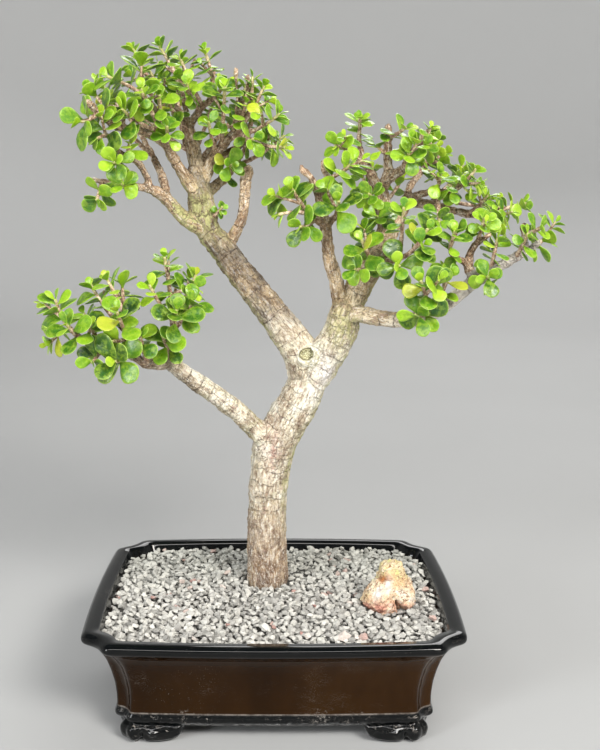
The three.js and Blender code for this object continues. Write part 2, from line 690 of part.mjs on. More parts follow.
// A twig from its limb to its tip. One that grows from the limb's very end goes on in its
// direction, and others stand on a short woody foot.
function growTwig([limb, at, tip, leafLength], heart) {
  const point = limbPoint(limb, at);
  const end = vector(tip);
  const length = end.distanceTo(point);
  const goesOn = at === LIMBS[limb].length - 1;
  const middle = mix(point, end, 0.5);
  middle.z -= TWIG_SAG * length;
  if (goesOn) {
    const before = vector(LIMBS[limb].at(-2));
    middle.copy(point).addScaledVector(point.clone().sub(before).normalize(), 0.4 * length);
  }
  const curve = new THREE.QuadraticBezierCurve3(point, middle, end);
  const limbRods = routeRods(LIMBS[limb], "wood");
  const isClear = (share) =>
    limbRods.every((rod) => distanceToRod(curve.getPoint(share), rod) > TWIG_BASE_RADIUS + FOOT_ROOM);
  const foot = goesOn ? 0 : FOOT_SHARES.find(isClear);
  const start = foot + FIT / length;
  const shares = [start, (start + 1) / 2, 1];
  const joints = shares.map((share) => curve.getPoint(share));
  return { curve, length, foot, shares, joints, leafLength, heart: vector(heart), shoots: [] };
}

// A place on the twig's straight stretches between its joints
function onTwig(twig, share) {
  const { joints, shares } = twig;
  const k = share < shares[1] ? 0 : 1;
  return mix(joints[k], joints[k + 1], (share - shares[k]) / (shares[k + 1] - shares[k]));
}

// Side shoots, each turned about the twig until it stands clear of all other wood
function growShoots(twig, count, spray, rods, random) {
  for (let k = 1; k < count; k++) {
    const place = SHOOTS_FROM + ((SHOOTS_TO - SHOOTS_FROM) * k) / count + SHOOT_SHIFT * random();
    const share = lerp(twig.foot, 1, place);
    const tangent = twig.curve.getTangent(share);
    const [across, up] = framed(tangent);
    const turn = 2 * Math.PI * random();
    const lean = radians(lerp(...SHOOT_LEAN, random()));
    const reach = twig.leafLength * lerp(...SHOOT_REACH, random());
    const start = onTwig(twig, share);
    const trials = SHOOT_TURNS.map((extra) => {
      const axis = tangent
        .clone()
        .multiplyScalar(Math.cos(lean))
        .addScaledVector(across, Math.sin(lean) * Math.cos(turn + extra))
        .addScaledVector(up, Math.sin(lean) * Math.sin(turn + extra));
      axis.z += SHOOT_LIFT;
      return { start, axis: axis.normalize(), reach };
    });
    const clear = trials.find((shoot) => shootFits(shoot, spray, rods));
    if (clear) twig.shoots.push(clear);
  }
}

function shootFits({ start, axis, reach }, ownSpray, rods) {
  const points = [0.4, 0.7, 1].map((share) => start.clone().addScaledVector(axis, share * reach));
  return rods.every(
    (rod) => rod.spray === ownSpray || points.every((point) => distanceToRod(point, rod) > SHOOT_ROOM),
  );
}

// Pairs of leaves below a shoot's tip, each pair square to the one before
function growLeaves(twig, random) {
  const leaves = [];
  const addPairs = (axis, nodeAt, pairs, size) => {
    const [across, up] = framed(axis);
    const start = 2 * Math.PI * random();
    for (const pair of pairs) {
      const [below, lean, share] = LEAF_PAIRS[pair];
      const base = nodeAt((below * size) / LEAF_SCALE);
      const turn = start + (pair * Math.PI) / 2 + PAIR_TURN * (random() - 0.5);
      for (const side of [0, Math.PI]) {
        const outwards = across
          .clone()
          .multiplyScalar(Math.cos(turn + side))
          .addScaledVector(up, Math.sin(turn + side));
        leaves.push({
          base,
          out: base.clone().sub(twig.heart).normalize(),
          axis,
          outwards,
          lean: lean + LEAN_SPREAD * (random() - 0.5),
          length: size * share * (1 + LENGTH_SPREAD * (random() - 0.5)),
          twist: radians(TWIST_SPREAD * (random() - 0.5)),
        });
      }
    }
  };
  const { curve, length, leafLength } = twig;
  addPairs(curve.getTangent(1), (below) => onTwig(twig, 1 - below / length), TWIG_PAIRS, leafLength);
  for (const { start, axis, reach } of twig.shoots) {
    const nodeAt = (below) => start.clone().addScaledVector(axis, reach - below);
    addPairs(axis, nodeAt, SHOOT_PAIRS, SHOOT_LEAF_SHARE * leafLength);
  }
  return leaves;
}

// A leaf's own directions once it leans by the given angle from its shoot
function posedLeaf(leaf, lean) {
  const along = leaf.axis
    .clone()
    .multiplyScalar(Math.cos(radians(lean)))
    .addScaledVector(leaf.outwards, Math.sin(radians(lean)));
  const wish = leaf.axis.clone().addScaledVector(leaf.out, OUTWARD_TURN);
  const face = wish.projectOnPlane(along).normalize();
  face.applyAxisAngle(along, leaf.twist);
  const across = face.clone().cross(along);
  return { ...leaf, along, face, across };
}

// A place on a leaf, given along and across in shares of its length and width
function onLeaf(leaf, x, y, above = 0) {
  const droop = -LEAF_DROOP * leaf.length * Math.max(x, 0) ** 2;
  return leaf.base
    .clone()
    .addScaledVector(leaf.along, x * leaf.length)
    .addScaledVector(leaf.across, y * leaf.length * LEAF_WIDTH)
    .addScaledVector(leaf.face, droop + above);
}

// A leaf with a nearly flat underside; grow makes the space that it needs round it
function leafSolid(leaf, grow = 0) {
  const { length } = leaf;
  const wide = 1 + (2 * grow) / (length * LEAF_WIDTH);
  const half = LEAF_OUTLINE.map(([x, y]) => [x + (x > LEAF_OUTLINE[0][0] ? grow / length : 0), y * wide]);
  const outline = [...half, ...half.slice(1).reverse().map(([x, y]) => [x, -y])];
  const rim = outline.map(([x, y]) => onLeaf(leaf, x, y, -grow));
  const crown = onLeaf(leaf, LEAF_CROWN, 0, LEAF_THICKNESS * length + grow);
  const top = rim.map((_, i) => [(i + 1) % rim.length, i, rim.length]);
  const underside = [[0, 1, 4], [1, 2, 4], [2, 3, 4]];
  return solidOf(geometryOf([...rim, crown], [...top, ...underside]));
}

function distanceToRod(point, rod) {
  const line = rod.end.clone().sub(rod.start);
  const share = THREE.MathUtils.clamp(point.clone().sub(rod.start).dot(line) / line.lengthSq(), 0, 1);
  const radius = lerp(rod.radii[0], rod.radii[1], share);
  return point.distanceTo(rod.start.clone().addScaledVector(line, share)) - radius;
}

// True where a leaf's mid surface comes too near another leaf's body
function touchesLeaf(points, leaf) {
  const { length } = leaf;
  const centre = onLeaf(leaf, 0.55, 0);
  if (points[0].distanceTo(centre) > 2.2 * length + 12) return false;
  return points.some((point) => {
    const from = point.clone().sub(centre);
    const x = from.dot(leaf.along) / (0.5 * length + LEAF_GAP);
    const y = from.dot(leaf.across) / (0.5 * length * LEAF_WIDTH + LEAF_GAP);
    const z = from.dot(leaf.face) / (LEAF_THICKNESS * length + LEAF_GAP);
    return x * x + y * y + z * z < 1;
  });
}

function leafFits(leaf, ownSpray, placed) {
  const points = LEAF_PROBES.map(([x, y]) => onLeaf(leaf, x, y));
  const nearRod = rods.some(
    (rod) => rod.spray !== ownSpray && points.some((point) => distanceToRod(point, rod) < 2 * LEAF_GAP),
  );
  return !nearRod && !placed.some((other) => touchesLeaf(points, other));
}

const rodBetween = (start, end, radii, spray) => ({ start, end, radii, spray });

function routeRods(route, spray) {
  return route.slice(1).map((row, i) =>
    rodBetween(vector(route[i]), vector(row), [route[i][3], row[3]], spray));
}

const twigRadius = (share) => lerp(TWIG_BASE_RADIUS, TWIG_TIP_RADIUS, share);

// The short woody foot of a twig, which belongs to the limb
function stubSolid(twig) {
  const shares = [0, twig.foot];
  return tubeAlong(
    shares.map((share) => twig.curve.getPoint(share)),
    shares.map(twigRadius),
    shares.map((share) => twig.curve.getTangent(share)),
    TWIG_SIDES,
  );
}

function twigSolids(twig) {
  const main = tubeAlong(
    twig.joints,
    twig.shares.map(twigRadius),
    twig.shares.map((share) => twig.curve.getTangent(share)),
    TWIG_SIDES,
  );
  const side = twig.shoots.map(({ start: foot, axis, reach }) =>
    tubeAlong(
      [foot, foot.clone().addScaledVector(axis, reach)],
      [TWIG_TIP_RADIUS, 0.8 * TWIG_TIP_RADIUS],
      [axis, axis],
      TWIG_SIDES,
    ),
  );
  return [main, ...side];
}

function twigRods({ joints, shares }, spray) {
  return [0, 1].map((k) =>
    rodBetween(joints[k], joints[k + 1], [twigRadius(shares[k]), twigRadius(shares[k + 1])], spray));
}

function shootRods(twig, spray) {
  return twig.shoots.map(({ start, axis, reach }) =>
    rodBetween(start, start.clone().addScaledVector(axis, reach), [TWIG_TIP_RADIUS, TWIG_TIP_RADIUS], spray));
}

const boxesMeet = (a, b) =>
  [0, 1, 2].every((axis) => a.min[axis] <= b.max[axis] && b.min[axis] <= a.max[axis]);

function crosses(solid, others) {
  const box = solid.boundingBox();
  return others.some((other) => boxesMeet(box, other.boundingBox()) && solid.intersect(other).numTri() > 0);
}

// All twigs first, then their shoots, then their leaves, each spray by its own run of numbers
const sprays = Object.entries(SPRAYS).flatMap(([region, rows], place) =>
  rows.map((row, i) => ({
    name: `spray_${region}_${String(i + 1).padStart(2, "0")}`,
    twig: growTwig(row, HEARTS[region]),
    shootCount: row[4],
    random: seededRandom(SPRAY_SEED + 100 * place + i),
  })),
);
const rods = Object.values(LIMBS).flatMap((route) => routeRods(route, "wood"));
for (const { twig, name } of sprays) rods.push(...twigRods(twig, name));
for (const { twig, shootCount, name, random } of sprays) {
  growShoots(twig, shootCount, name, rods, random);
  rods.push(...shootRods(twig, name));
}

const wood = joined([
  ...Object.entries(LIMBS).map(([name, route]) => limbSolid(route, limbSides(name, route))),
  ...rootSolids(),
  ...sprays.filter(({ twig }) => twig.foot > 0).map(({ twig }) => stubSolid(twig)),
]);

// Each spray is its twigs with the leaves that stand clear of everything else
function spraySolids() {
  const stems = sprays.map(({ twig, name }) => ({ name, parts: twigSolids(twig) }));
  const bodies = [];
  for (const { twig, name, random } of sprays) {
    const othersOf = (list) => list.filter((item) => item.name !== name);
    const stemsNear = [wood, ...othersOf(stems).flatMap(({ parts }) => parts)];
    for (const leaf of growLeaves(twig, random)) {
      const obstacles = [...stemsNear, ...othersOf(bodies).map(({ solid }) => solid)];
      const posed = LEAF_BENDS.map((bend) => posedLeaf(leaf, leaf.lean + bend)).find(
        (trial) =>
          leafFits(trial, name, bodies.map((body) => body.leaf)) &&
          !crosses(leafSolid(trial, LEAF_GAP / 2), obstacles),
      );
      if (posed) bodies.push({ name, leaf: posed, solid: leafSolid(posed) });
    }
  }
  return stems.map(({ name, parts }) => ({
    name,
    solid: joined([...parts, ...bodies.filter((body) => body.name === name).map(({ solid }) => solid)]),
  }));
}

const finish = (color, roughness, metalness = 0) =>
  new THREE.MeshStandardMaterial({ color, roughness, metalness, flatShading: true });

const FINISHES = {
  glaze: finish("#15100f", 0.12),
  net: finish("#22312a", 0.6),
  soil: finish("#3b2a20", 0.95),
  gravel: finish("#c9c2bb", 0.9),
  rock: finish("#d8b48e", 0.85),
  bark: finish("#a08d76", 0.85),
  leaf: finish("#5fa62c", 0.35),
};

const tree = new THREE.Group();

function addPiece(name, solid, material) {
  const mesh = new THREE.Mesh(geometryFrom(solid), material);
  mesh.name = name;
  tree.add(mesh);
}

const space = stumpSpace();
addPiece("pot", potSolid(), FINISHES.glaze);
addPiece("drain_screen_left", screenSolid(-DRAIN_X), FINISHES.net);
addPiece("drain_screen_right", screenSolid(DRAIN_X), FINISHES.net);
addPiece("soil", soilSolid(space), FINISHES.soil);
addPiece("gravel", gravelSolid(space, rockSolid(ROOMY_FIT)), FINISHES.gravel);
addPiece("accent_rock", rockSolid(), FINISHES.rock);
addPiece("tree_wood", wood, FINISHES.bark);
for (const { name, solid } of spraySolids()) addPiece(name, solid, FINISHES.leaf);

// Move the plant so that the box round it all is centred on the Z axis
const extent = new THREE.Box3().setFromObject(tree);
const centre = extent.getCenter(new THREE.Vector3());
tree.position.set(-centre.x, -centre.y, -extent.min.z);

const bonsai = new THREE.Group();
bonsai.add(tree);

export default bonsai;
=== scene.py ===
# The looks of a dwarf jade bonsai in its glazed pot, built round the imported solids.
# Lengths are in millimetres with the pot's centre on the Z axis until a mesh is made, and
# make_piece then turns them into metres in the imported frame.

import math

import bmesh
import bpy
import numpy as np
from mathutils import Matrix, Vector, noise


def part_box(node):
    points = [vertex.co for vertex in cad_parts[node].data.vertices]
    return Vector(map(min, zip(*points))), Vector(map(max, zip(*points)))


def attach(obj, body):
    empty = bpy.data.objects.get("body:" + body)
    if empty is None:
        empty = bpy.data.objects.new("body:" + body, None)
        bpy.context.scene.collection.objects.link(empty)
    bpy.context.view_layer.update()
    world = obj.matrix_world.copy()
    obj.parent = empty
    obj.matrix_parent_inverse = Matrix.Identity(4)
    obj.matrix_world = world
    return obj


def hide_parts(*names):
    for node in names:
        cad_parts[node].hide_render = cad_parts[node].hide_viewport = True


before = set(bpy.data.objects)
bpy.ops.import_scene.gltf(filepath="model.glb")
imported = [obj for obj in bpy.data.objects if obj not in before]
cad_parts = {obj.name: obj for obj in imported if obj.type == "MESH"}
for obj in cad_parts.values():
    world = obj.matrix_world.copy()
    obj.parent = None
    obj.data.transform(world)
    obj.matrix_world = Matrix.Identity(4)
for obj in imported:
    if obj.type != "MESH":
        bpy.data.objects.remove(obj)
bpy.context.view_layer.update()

MM = 0.001
pot_low, pot_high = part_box("pot")
POT_CENTRE = np.array([(pot_low.x + pot_high.x) / 2, (pot_low.y + pot_high.y) / 2, 0.0])

# Camera, from the photograph: where it stands in the pot's own frame, and its view
CAMERA_PLACE = (0, -841, 442)
CAMERA_PITCH = 11.1
CAMERA_FOCUS_PX = 1042
PICTURE = (600, 750)
AXIS_PX = 274

# Pot, with the same sizes as the solid; its profiles are rows of height and inset
RIM_TOP = 92.7
RIM_HALF = (149, 116)
CORNER_CUTS = (11, 21)
BASE_BOW = (1.5, 2.5)
RIM_BOW = (3.2, 5)
CORNER_COVE = 1.6
BODY_UNDERSIDE = 16.5
FLOOR_TOP = 23.5
POT_OUTSIDE = [
    (16.5, 27.2), (18.6, 25.4), (20.2, 23.2), (22.6, 22.6), (24.8, 23.4), (26.2, 24.6), (36, 24.3),
    (46, 23), (57, 20.2), (66, 17.2), (73, 13.6), (79, 9.2), (82.6, 5), (84.5, 1.6), (86.4, 0),
    (90.4, 0), (92.7, 3.4)]
POT_INSIDE = [(92.7, 12), (91, 13.4), (86, 15.4), (77, 20), (58, 27.5), (36, 31), (23.5, 32)]
INSIDE_CUT_LESS = 3
DEPTH_SHARE = 0.85
SIDE_STEPS, CORNER_STEPS, FRONT_STEPS = 34, 14, 46
FOOT_HALF = (121.8, 96.5)
FOOT_LENGTH = 52
FOOT_CUT = 10
FOOT_TOP = 17.5
FOOT_THICKNESS = 16.5
FOOT_STEPS, FOOT_ROWS = 96, 22
DRAIN_RADIUS = 10
DRAIN_PLACES = (-58, 58)
DRAIN_SIDES = 28

# Filling; each layer of stones has its pitch and how high it lies
GRAVEL_LEVEL = 87.2
GRAVEL_MOUND = 1.8
STONE_LAYERS = ((5.4, -3.2), (5.9, -0.9), (7.8, 1.0))
GRAVEL_SEED = 9001
GRAVEL_SPAN = (300, 236)
STONE_SHAPES, STONE_POINTS = 40, 13
# The share of the top layer's stones that is left out
TOP_LEFT_OUT = 0.3
TRUNK_ROOM = 19.8
# The one large stone by the front rim: its place and size
BIG_STONE = (53, -90, 15)
BIG_STONE_TONE = 0.984
BED_HALF = (136, 104)
BED_SPACING = 3.2
BED_DEPTH = 4.4
ROCK_CENTRE = (93.5, -24, 99)
ROCK_HALF = (22.5, 20, 24)
ROCK_SUNK_TO = 81
ROCK_TILT = math.radians(22.8)
# The rock's outline seen from the camera: angle from +X in degrees, and how far it reaches
ROCK_OUTLINE = [
    (0, 1.04), (7, 1.01), (20, 0.98), (38, 0.98), (50, 1.04), (63, 1.14), (79, 1.11), (93, 1.05),
    (102, 0.97), (111, 0.75), (127, 0.58), (157, 0.65), (184, 0.86), (198, 0.98), (218, 0.95),
    (240, 0.95), (262, 1.02), (282, 0.98), (299, 0.86), (311, 0.74), (316, 0.98), (322, 1.15),
    (333, 1.19), (350, 1.08), (360, 1.04)]

# Leaves and twigs, with the same growth as the solids
LEAF_WIDTH = 0.84
LEAF_THICKNESS = 0.14
LEAF_STRETCH = 1.08
LEAF_STEPS, LEAF_RINGS = 11, 4
TWIG_TIP_RADIUS = 1.2
TWIG_BASE_RADIUS = 2
TWIG_SAG = 0.13
STEM_STEP, STEM_SIDES = 1.4, 8
LEAF_GAP = 0.6
LEAF_DROOP = 0.07
LEAF_PROBES = np.array([
    [0.36, 0], [0.62, 0], [0.86, 0], [1, 0], [0.5, 0.4], [0.5, -0.4], [0.76, 0.46], [0.76, -0.46]])
LEAF_SCALE = 15
# Leaves whose middles are further apart than this can't touch
LEAF_NEIGHBOURS = 62
# Each pair's distance below the tip, lean and share of the leaf's length
LEAF_PAIRS = [(0.3, 26, 0.5), (2.6, 46, 0.8), (6.2, 64, 1), (11, 80, 0.95), (16.5, 88, 0.8)]
# The pairs on a twig and on a shoot: those of the solids, and then those of the render alone
PAIRS_SHARED = ((1, 2, 3), (2,))
PAIRS_ADDED = ((0, 4), (0, 1, 3))
LEAF_BENDS = (0, -22, 20)
SHOOT_TURNS = (0, 1.3, 2.6, 3.9, 5.2)
SHOOT_ROOM = 3
FOOT_SHARES = [0.1, 0.15, 0.2, 0.25, 0.3, 0.35, 0.4, 0.45, 0.5, 0.55, 0.6, 0.65, 0.7]
FOOT_ROOM = 0.6
SHOOT_LIFT = 0.35
FIT = 0.35
SPRAY_SEED = 2000
# Leaves turn their faces away from the heart of their part of the tree
OUTWARD_TURN = 0.9
# What the names of a region's limbs start with, and the region's heart
REGIONS = {
    "low_branch": ("lowBranch", (-100, 20, 285)),
    "left_crown": ("left", (-62, 32, 430)),
    "right_crown": ("right", (95, 20, 375))}
# Leaves nearer to the heart than this are darkened as painted shade, and the few drawn above this number are
# golden
OUTER_LEAVES = 78
GOLDEN_ABOVE = 0.985
TWIG_KNOT_PITCH, SHOOT_KNOT_PITCH = 3.6, 3.2

# Wood
WOOD_VOXEL = 1.24
# How strongly the wood's skin is smoothed, and how often
WOOD_RELAX = (0.5, 5)
LIMB_SIDES, STALK_SIDES = 18, 12
# The bark's pattern is shifted by this much from each limb to the next
LIMB_SHIFT = 17.3
# Where a limb was once cut off: the swollen lip and the sunken heart, as x, z and half sizes
SCAR_DEPTH = 2
SCAR_LIP = (28.3, 291.8, 9.1, 8.8)
SCAR_HEART = (27.2, 294.1, 6.2, 4.7)
FAR_FROM_SCAR = 9
# Patches of the bark, each with its middle and half sizes
BLUSH = ((-2, 6, 210), (7, 14, 26))
PALE_PATCH = ((43, 0, 278), (9, 16, 17))
FORK = ((58, 0, 318), (17, 17, 17))
ROOTS = 5
ROOT_REACH = (74, 46)
# A root's share of its reach, its height and radius
ROOT_ROWS = ((0.1, 62, 8), (0.5, 52, 5.6), (1, 43, 3))

# Stage, in metres: each light has its place, size, power and colour
BOWL_RADIUS = 2.2
BOWL_TURN = 1.3
BOWL_TOP = 3.4
BOWL_SIDES = 72
SKY_COLOUR = (0.92, 0.96, 1, 1)
SKY_STRENGTH = 0.17
LIGHT_AIM = (0, 0, 0.28)
LIGHTS = {
    "key": ((1.39, -2.08, 1.93), (1.1, 0.8), 90, (1, 0.98, 0.94)),
    "strip": ((0, -2.0, 1.7), (3.2, 0.3), 45, (1, 1, 1)),
    "fill": ((-1.86, -1.71, 0.88), (0.5, 0.9), 34, (0.93, 0.97, 1)),
    "back": ((0.5, 2.1, 1.8), (1.6, 1.0), 28, (1, 1, 1))}

# Limbs: routes of x, y, z and radius
LIMBS = {
    "trunk": [(-6, 28, 50, 13), (-6, 28, 66, 19.5), (-6, 28, 86, 19), (-6, 28, 102, 17.4),
        (-6, 27, 159, 16.7), (-3, 25, 190, 17.1), (1, 23, 211, 17.7), (10, 20, 232, 17.6),
        (24, 17, 257, 16.6), (30, 16, 274, 15.4)],
    "leftLimb": [(28, 16, 268, 14), (22, 16, 293, 14.6), (13, 17, 308, 14), (-3, 19, 328, 12.9),
        (-20, 21, 349, 11.7), (-41, 24, 376, 10.8), (-54, 26, 392, 10.4), (-59, 28, 410, 11.2),
        (-61, 30, 424, 9.6), (-64, 32, 441, 7.6)],
    "rightLimb": [(28, 16, 266, 14.4), (42, 12, 289, 14.8), (53, 8, 309, 14.2), (58, 5, 329, 12.4)],
    "lowBranch": [(0, 21, 212, 10), (-23, 10, 236, 8.6), (-33, 6, 247, 8), (-55, -4, 266, 7.8),
        (-75, -14, 283, 6.4), (-85, -20, 292, 5.6)],
    "lowBranchUp": [(-83, -19, 290, 4.8), (-82, -22, 303, 4), (-80, -16, 318, 3.3), (-82, -14, 338, 2.6)],
    "lowBranchOut": [(-82, -19, 290, 4.8), (-94, -26, 291, 4.6), (-105, -30, 294, 4),
        (-111, -32, 304, 3.4), (-115, -30, 321, 2.6)],
    "lowBranchFar": [(-107, -31, 297, 3.4), (-126, -30, 302, 3), (-144, -28, 306, 2.6),
        (-157, -30, 317, 2.2)],
    "leftTop": [(-62, 31, 430, 7.4), (-66, 34, 459, 5.6), (-71, 36, 480, 4.4)],
    "leftTopBack": [(-70, 36, 475, 3.4), (-74, 47, 497, 2.4)],
    "leftTopLeft": [(-70, 36, 475, 3.6), (-79, 38, 487, 3), (-89, 41, 498, 2.3)],
    "leftTopRight": [(-70, 36, 475, 3.4), (-62, 32, 488, 2.9), (-54, 27, 496, 2.3)],
    "leftRight": [(-61, 31, 428, 6.4), (-49, 28, 453, 4.6), (-39, 22, 465, 3.8), (-27, 14, 476, 2.8)],
    "leftRightBack": [(-53, 30, 444, 4), (-36, 38, 457, 3.4), (-27, 44, 463, 2.6)],
    "leftRightRear": [(-59, 32, 420, 5), (-40, 48, 438, 3.8), (-30, 58, 451, 2.6)],
    "leftFront": [(-60, 29, 418, 6.6), (-73, 20, 438, 5), (-82, 12, 454, 4.2), (-88, 6, 467, 3.4),
        (-90, -1, 482, 2.4)],
    "leftReddish": [(-86, 7, 463, 3), (-103, -6, 472, 3.3), (-120, -16, 475, 3.2), (-132, -24, 483, 2.9),
        (-140, -30, 493, 2.6)],
    "leftFar": [(-51, 25, 391, 7.6), (-73, 18, 404, 5.8), (-88, 8, 421, 5), (-100, 0, 429, 3.6)],
    "leftFarUp": [(-99, 0, 427, 3), (-101, -2, 438, 2.8), (-108, -6, 449, 2.6), (-120, -12, 456, 2.3),
        (-125, -18, 466, 2)],
    "leftFarRear": [(-86, 9, 419, 4), (-90, 15, 436, 3.4), (-97, 23, 451, 2.8), (-106, 32, 466, 2.2)],
    "leftFarLow": [(-99, 0, 428, 3), (-115, -6, 430, 2.6), (-132, -10, 433, 2.3), (-141, -12, 435, 2.2)],
    "leftBack": [(-60, 31, 422, 6), (-67, 57, 446, 4.2), (-76, 73, 467, 2.8)],
    "leftBackRight": [(-66, 54, 442, 3.8), (-51, 76, 466, 2.6)],
    "leftStub": [(-40, 24, 377, 5), (-27, 26, 402, 4.4), (-24, 27, 422, 4.5), (-23, 28, 434, 4.8),
        (-21, 28, 442, 4.6)],
    "rightLeft": [(56, 6, 325, 7), (50, -2, 354, 5.8), (44, -8, 374, 5), (40, -14, 402, 4.4),
        (35, -18, 421, 3.5), (30, -22, 434, 2.8), (25, -24, 441, 2.2)],
    "rightLeftTwin": [(36, -18, 417, 2.9), (41, -11, 432, 2.4), (41, -7, 444, 2.1)],
    "rightLeftOut": [(41, -13, 398, 3.4), (30, -22, 407, 2.6)],
    "rightLeftIn": [(40, -13, 399, 3.4), (51, -5, 408, 2.6)],
    "rightMid": [(56, 5, 324, 11.8), (72, 8, 354, 10.6), (83, 12, 372, 9.8), (91, 16, 394, 7.6),
        (90, 18, 412, 6.2), (86, 18, 428, 5.4)],
    "rightMidLeft": [(87, 18, 422, 4.6), (77, 14, 441, 3.9), (70, 10, 450, 3.3), (60, 4, 457, 2.4)],
    "rightMidTop": [(71, 10, 447, 2.9), (68, 8, 463, 2.3)],
    "rightMidStub": [(86, 18, 423, 4.6), (92, 16, 438, 4.4), (91, 12, 452, 3.4), (91, 10, 466, 3.2),
        (91, 9, 476, 3.1)],
    "rightMidFork": [(91, 16, 434, 4), (104, 12, 444, 3.6), (110, 6, 456, 3), (115, 2, 465, 2.7),
        (122, -2, 473, 2.4)],
    "rightArm": [(56, 6, 325, 8.4), (69, -4, 328, 7), (86, -14, 326, 6.4), (112, -20, 326, 6.1),
        (134, -22, 337, 5.7), (158, -20, 356, 5.2), (183, -14, 370, 4.2), (204, -8, 381, 3),
        (212, -5, 386, 2.3)],
    "rightArmUp": [(158, -20, 354, 4.2), (154, -16, 370, 3.6), (158, -12, 383, 2.8), (167, -7, 389, 2.2)],
    "rightArmFront": [(154, -16, 369, 2.8), (142, -23, 375, 2.3)],
    "rightArmStub": [(200, -9, 378, 2.8), (198, -13, 389, 2.7), (196, -15, 399, 2.9)],
    "rightArmLow": [(122, -20, 328, 3.4), (120, -33, 337, 2.5)],
    "rightBack": [(91, 14, 384, 6.4), (105, 33, 406, 5), (113, 44, 419, 4.3)],
    "rightBackArm": [(111, 42, 416, 4.2), (134, 48, 414, 3.8), (152, 50, 409, 3.2), (171, 48, 405, 2.8),
        (187, 44, 409, 2.2)],
    "rightBackUp": [(109, 39, 412, 3.8), (114, 50, 428, 3.2), (121, 56, 438, 2.5)],
    "rightBackFront": [(112, 43, 418, 3.6), (128, 31, 425, 2.8), (141, 22, 425, 2.3)],
    "rightBackRear": [(130, 47, 413, 3.2), (146, 65, 426, 2.3)],
    "rightCrook": [(84, 8, 369, 4.2), (93, -12, 372, 3.2), (101, -24, 376, 2.4)],
    "rightCrookLeft": [(88, 5, 364, 3), (79, -13, 371, 2.4)],
    "rightRear": [(89, 17, 397, 4), (83, 42, 414, 2.8)]}

# Leafy sprays: the rest of the limb's name, place along it, tip, length of its leaves, shoots
SPRAYS = {
    "low_branch": [
        ("Up", 1.6, -74, -58, 338, 21, 1), ("Up", 3, -86, -20, 375, 15, 2),
        ("Up", 2.5, -63, -4, 359, 17, 2), ("Up", 2.3, -97, -30, 354, 14, 1),
        ("Far", 0.5, -121, -58, 299, 23, 1), ("Far", 2.3, -159, -50, 326, 20, 1),
        ("Far", 3, -170, -34, 343, 19, 2), ("Out", 3.6, -144, -22, 353, 17, 2),
        ("Out", 4, -121, -12, 356, 16, 2), ("Out", 3.2, -119, -56, 337, 20, 1)],
    "left_crown": [
        ("TopBack", 1, -95, 60, 543, 15, 3), ("TopLeft", 2, -115, 46, 539, 14, 2),
        ("TopLeft", 1.4, -115, 26, 518, 14, 2), ("Front", 4, -128, -10, 513, 19, 2),
        ("Reddish", 1.6, -142, -2, 504, 16, 2), ("Reddish", 3.2, -144, -40, 478, 22, 1),
        ("Front", 3.4, -114, -34, 487, 19, 1), ("FarUp", 4, -134, -30, 466, 18, 2),
        ("FarUp", 2.6, -121, -38, 448, 14, 1), ("FarLow", 2.3, -137, -26, 420, 16, 1),
        ("FarLow", 1.2, -116, -30, 432, 15, 1), ("Front", 3.7, -100, -34, 502, 14, 2),
        ("TopRight", 1.2, -68, -2, 508, 14, 2), ("TopRight", 2, -55, 16, 535, 14, 3),
        ("Right", 1.6, -38, -8, 505, 16, 2), ("Right", 3, -8, 8, 507, 14, 2),
        ("Right", 2.2, 4, -4, 485, 15, 2), ("RightBack", 2, -2, 50, 469, 18, 2),
        ("RightRear", 2, -19, 78, 498, 15, 2), ("Back", 2, -83, 98, 533, 15, 3),
        ("FarRear", 3, -145, 50, 514, 15, 2)],
    "right_crown": [
        ("LeftOut", 1, 14, -36, 428, 18, 2), ("LeftIn", 0.7, 49, -42, 419, 19, 2),
        ("LeftTwin", 1.3, 58, -26, 446, 17, 2), ("MidLeft", 3, 48, -8, 461, 14, 2),
        ("MidTop", 1, 69, 4, 481, 13, 2), ("MidStub", 3.2, 103, -2, 475, 14, 1),
        ("MidFork", 1.6, 104, -18, 455, 15, 2), ("MidFork", 3.2, 129, 14, 461, 13, 2),
        ("BackUp", 2, 146, 62, 457, 13, 2), ("BackFront", 2, 161, 8, 443, 13, 3),
        ("BackArm", 4, 210, 42, 415, 13, 2), ("BackArm", 2.6, 175, 26, 422, 13, 2),
        ("ArmUp", 3, 181, -2, 397, 14, 2), ("Arm", 8, 218, -2, 389, 15, 2),
        ("ArmFront", 1, 138, -40, 396, 15, 2), ("Crook", 2, 117, -40, 398, 18, 2),
        ("Crook", 1.4, 95, -48, 371, 18, 1), ("CrookLeft", 1, 68, -32, 389, 19, 2),
        ("ArmLow", 1, 111, -54, 360, 18, 2), ("ArmLow", 0.6, 108, -52, 334, 19, 1),
        ("BackRear", 1, 164, 84, 446, 14, 2), ("Rear", 1, 76, 76, 439, 15, 2)]}

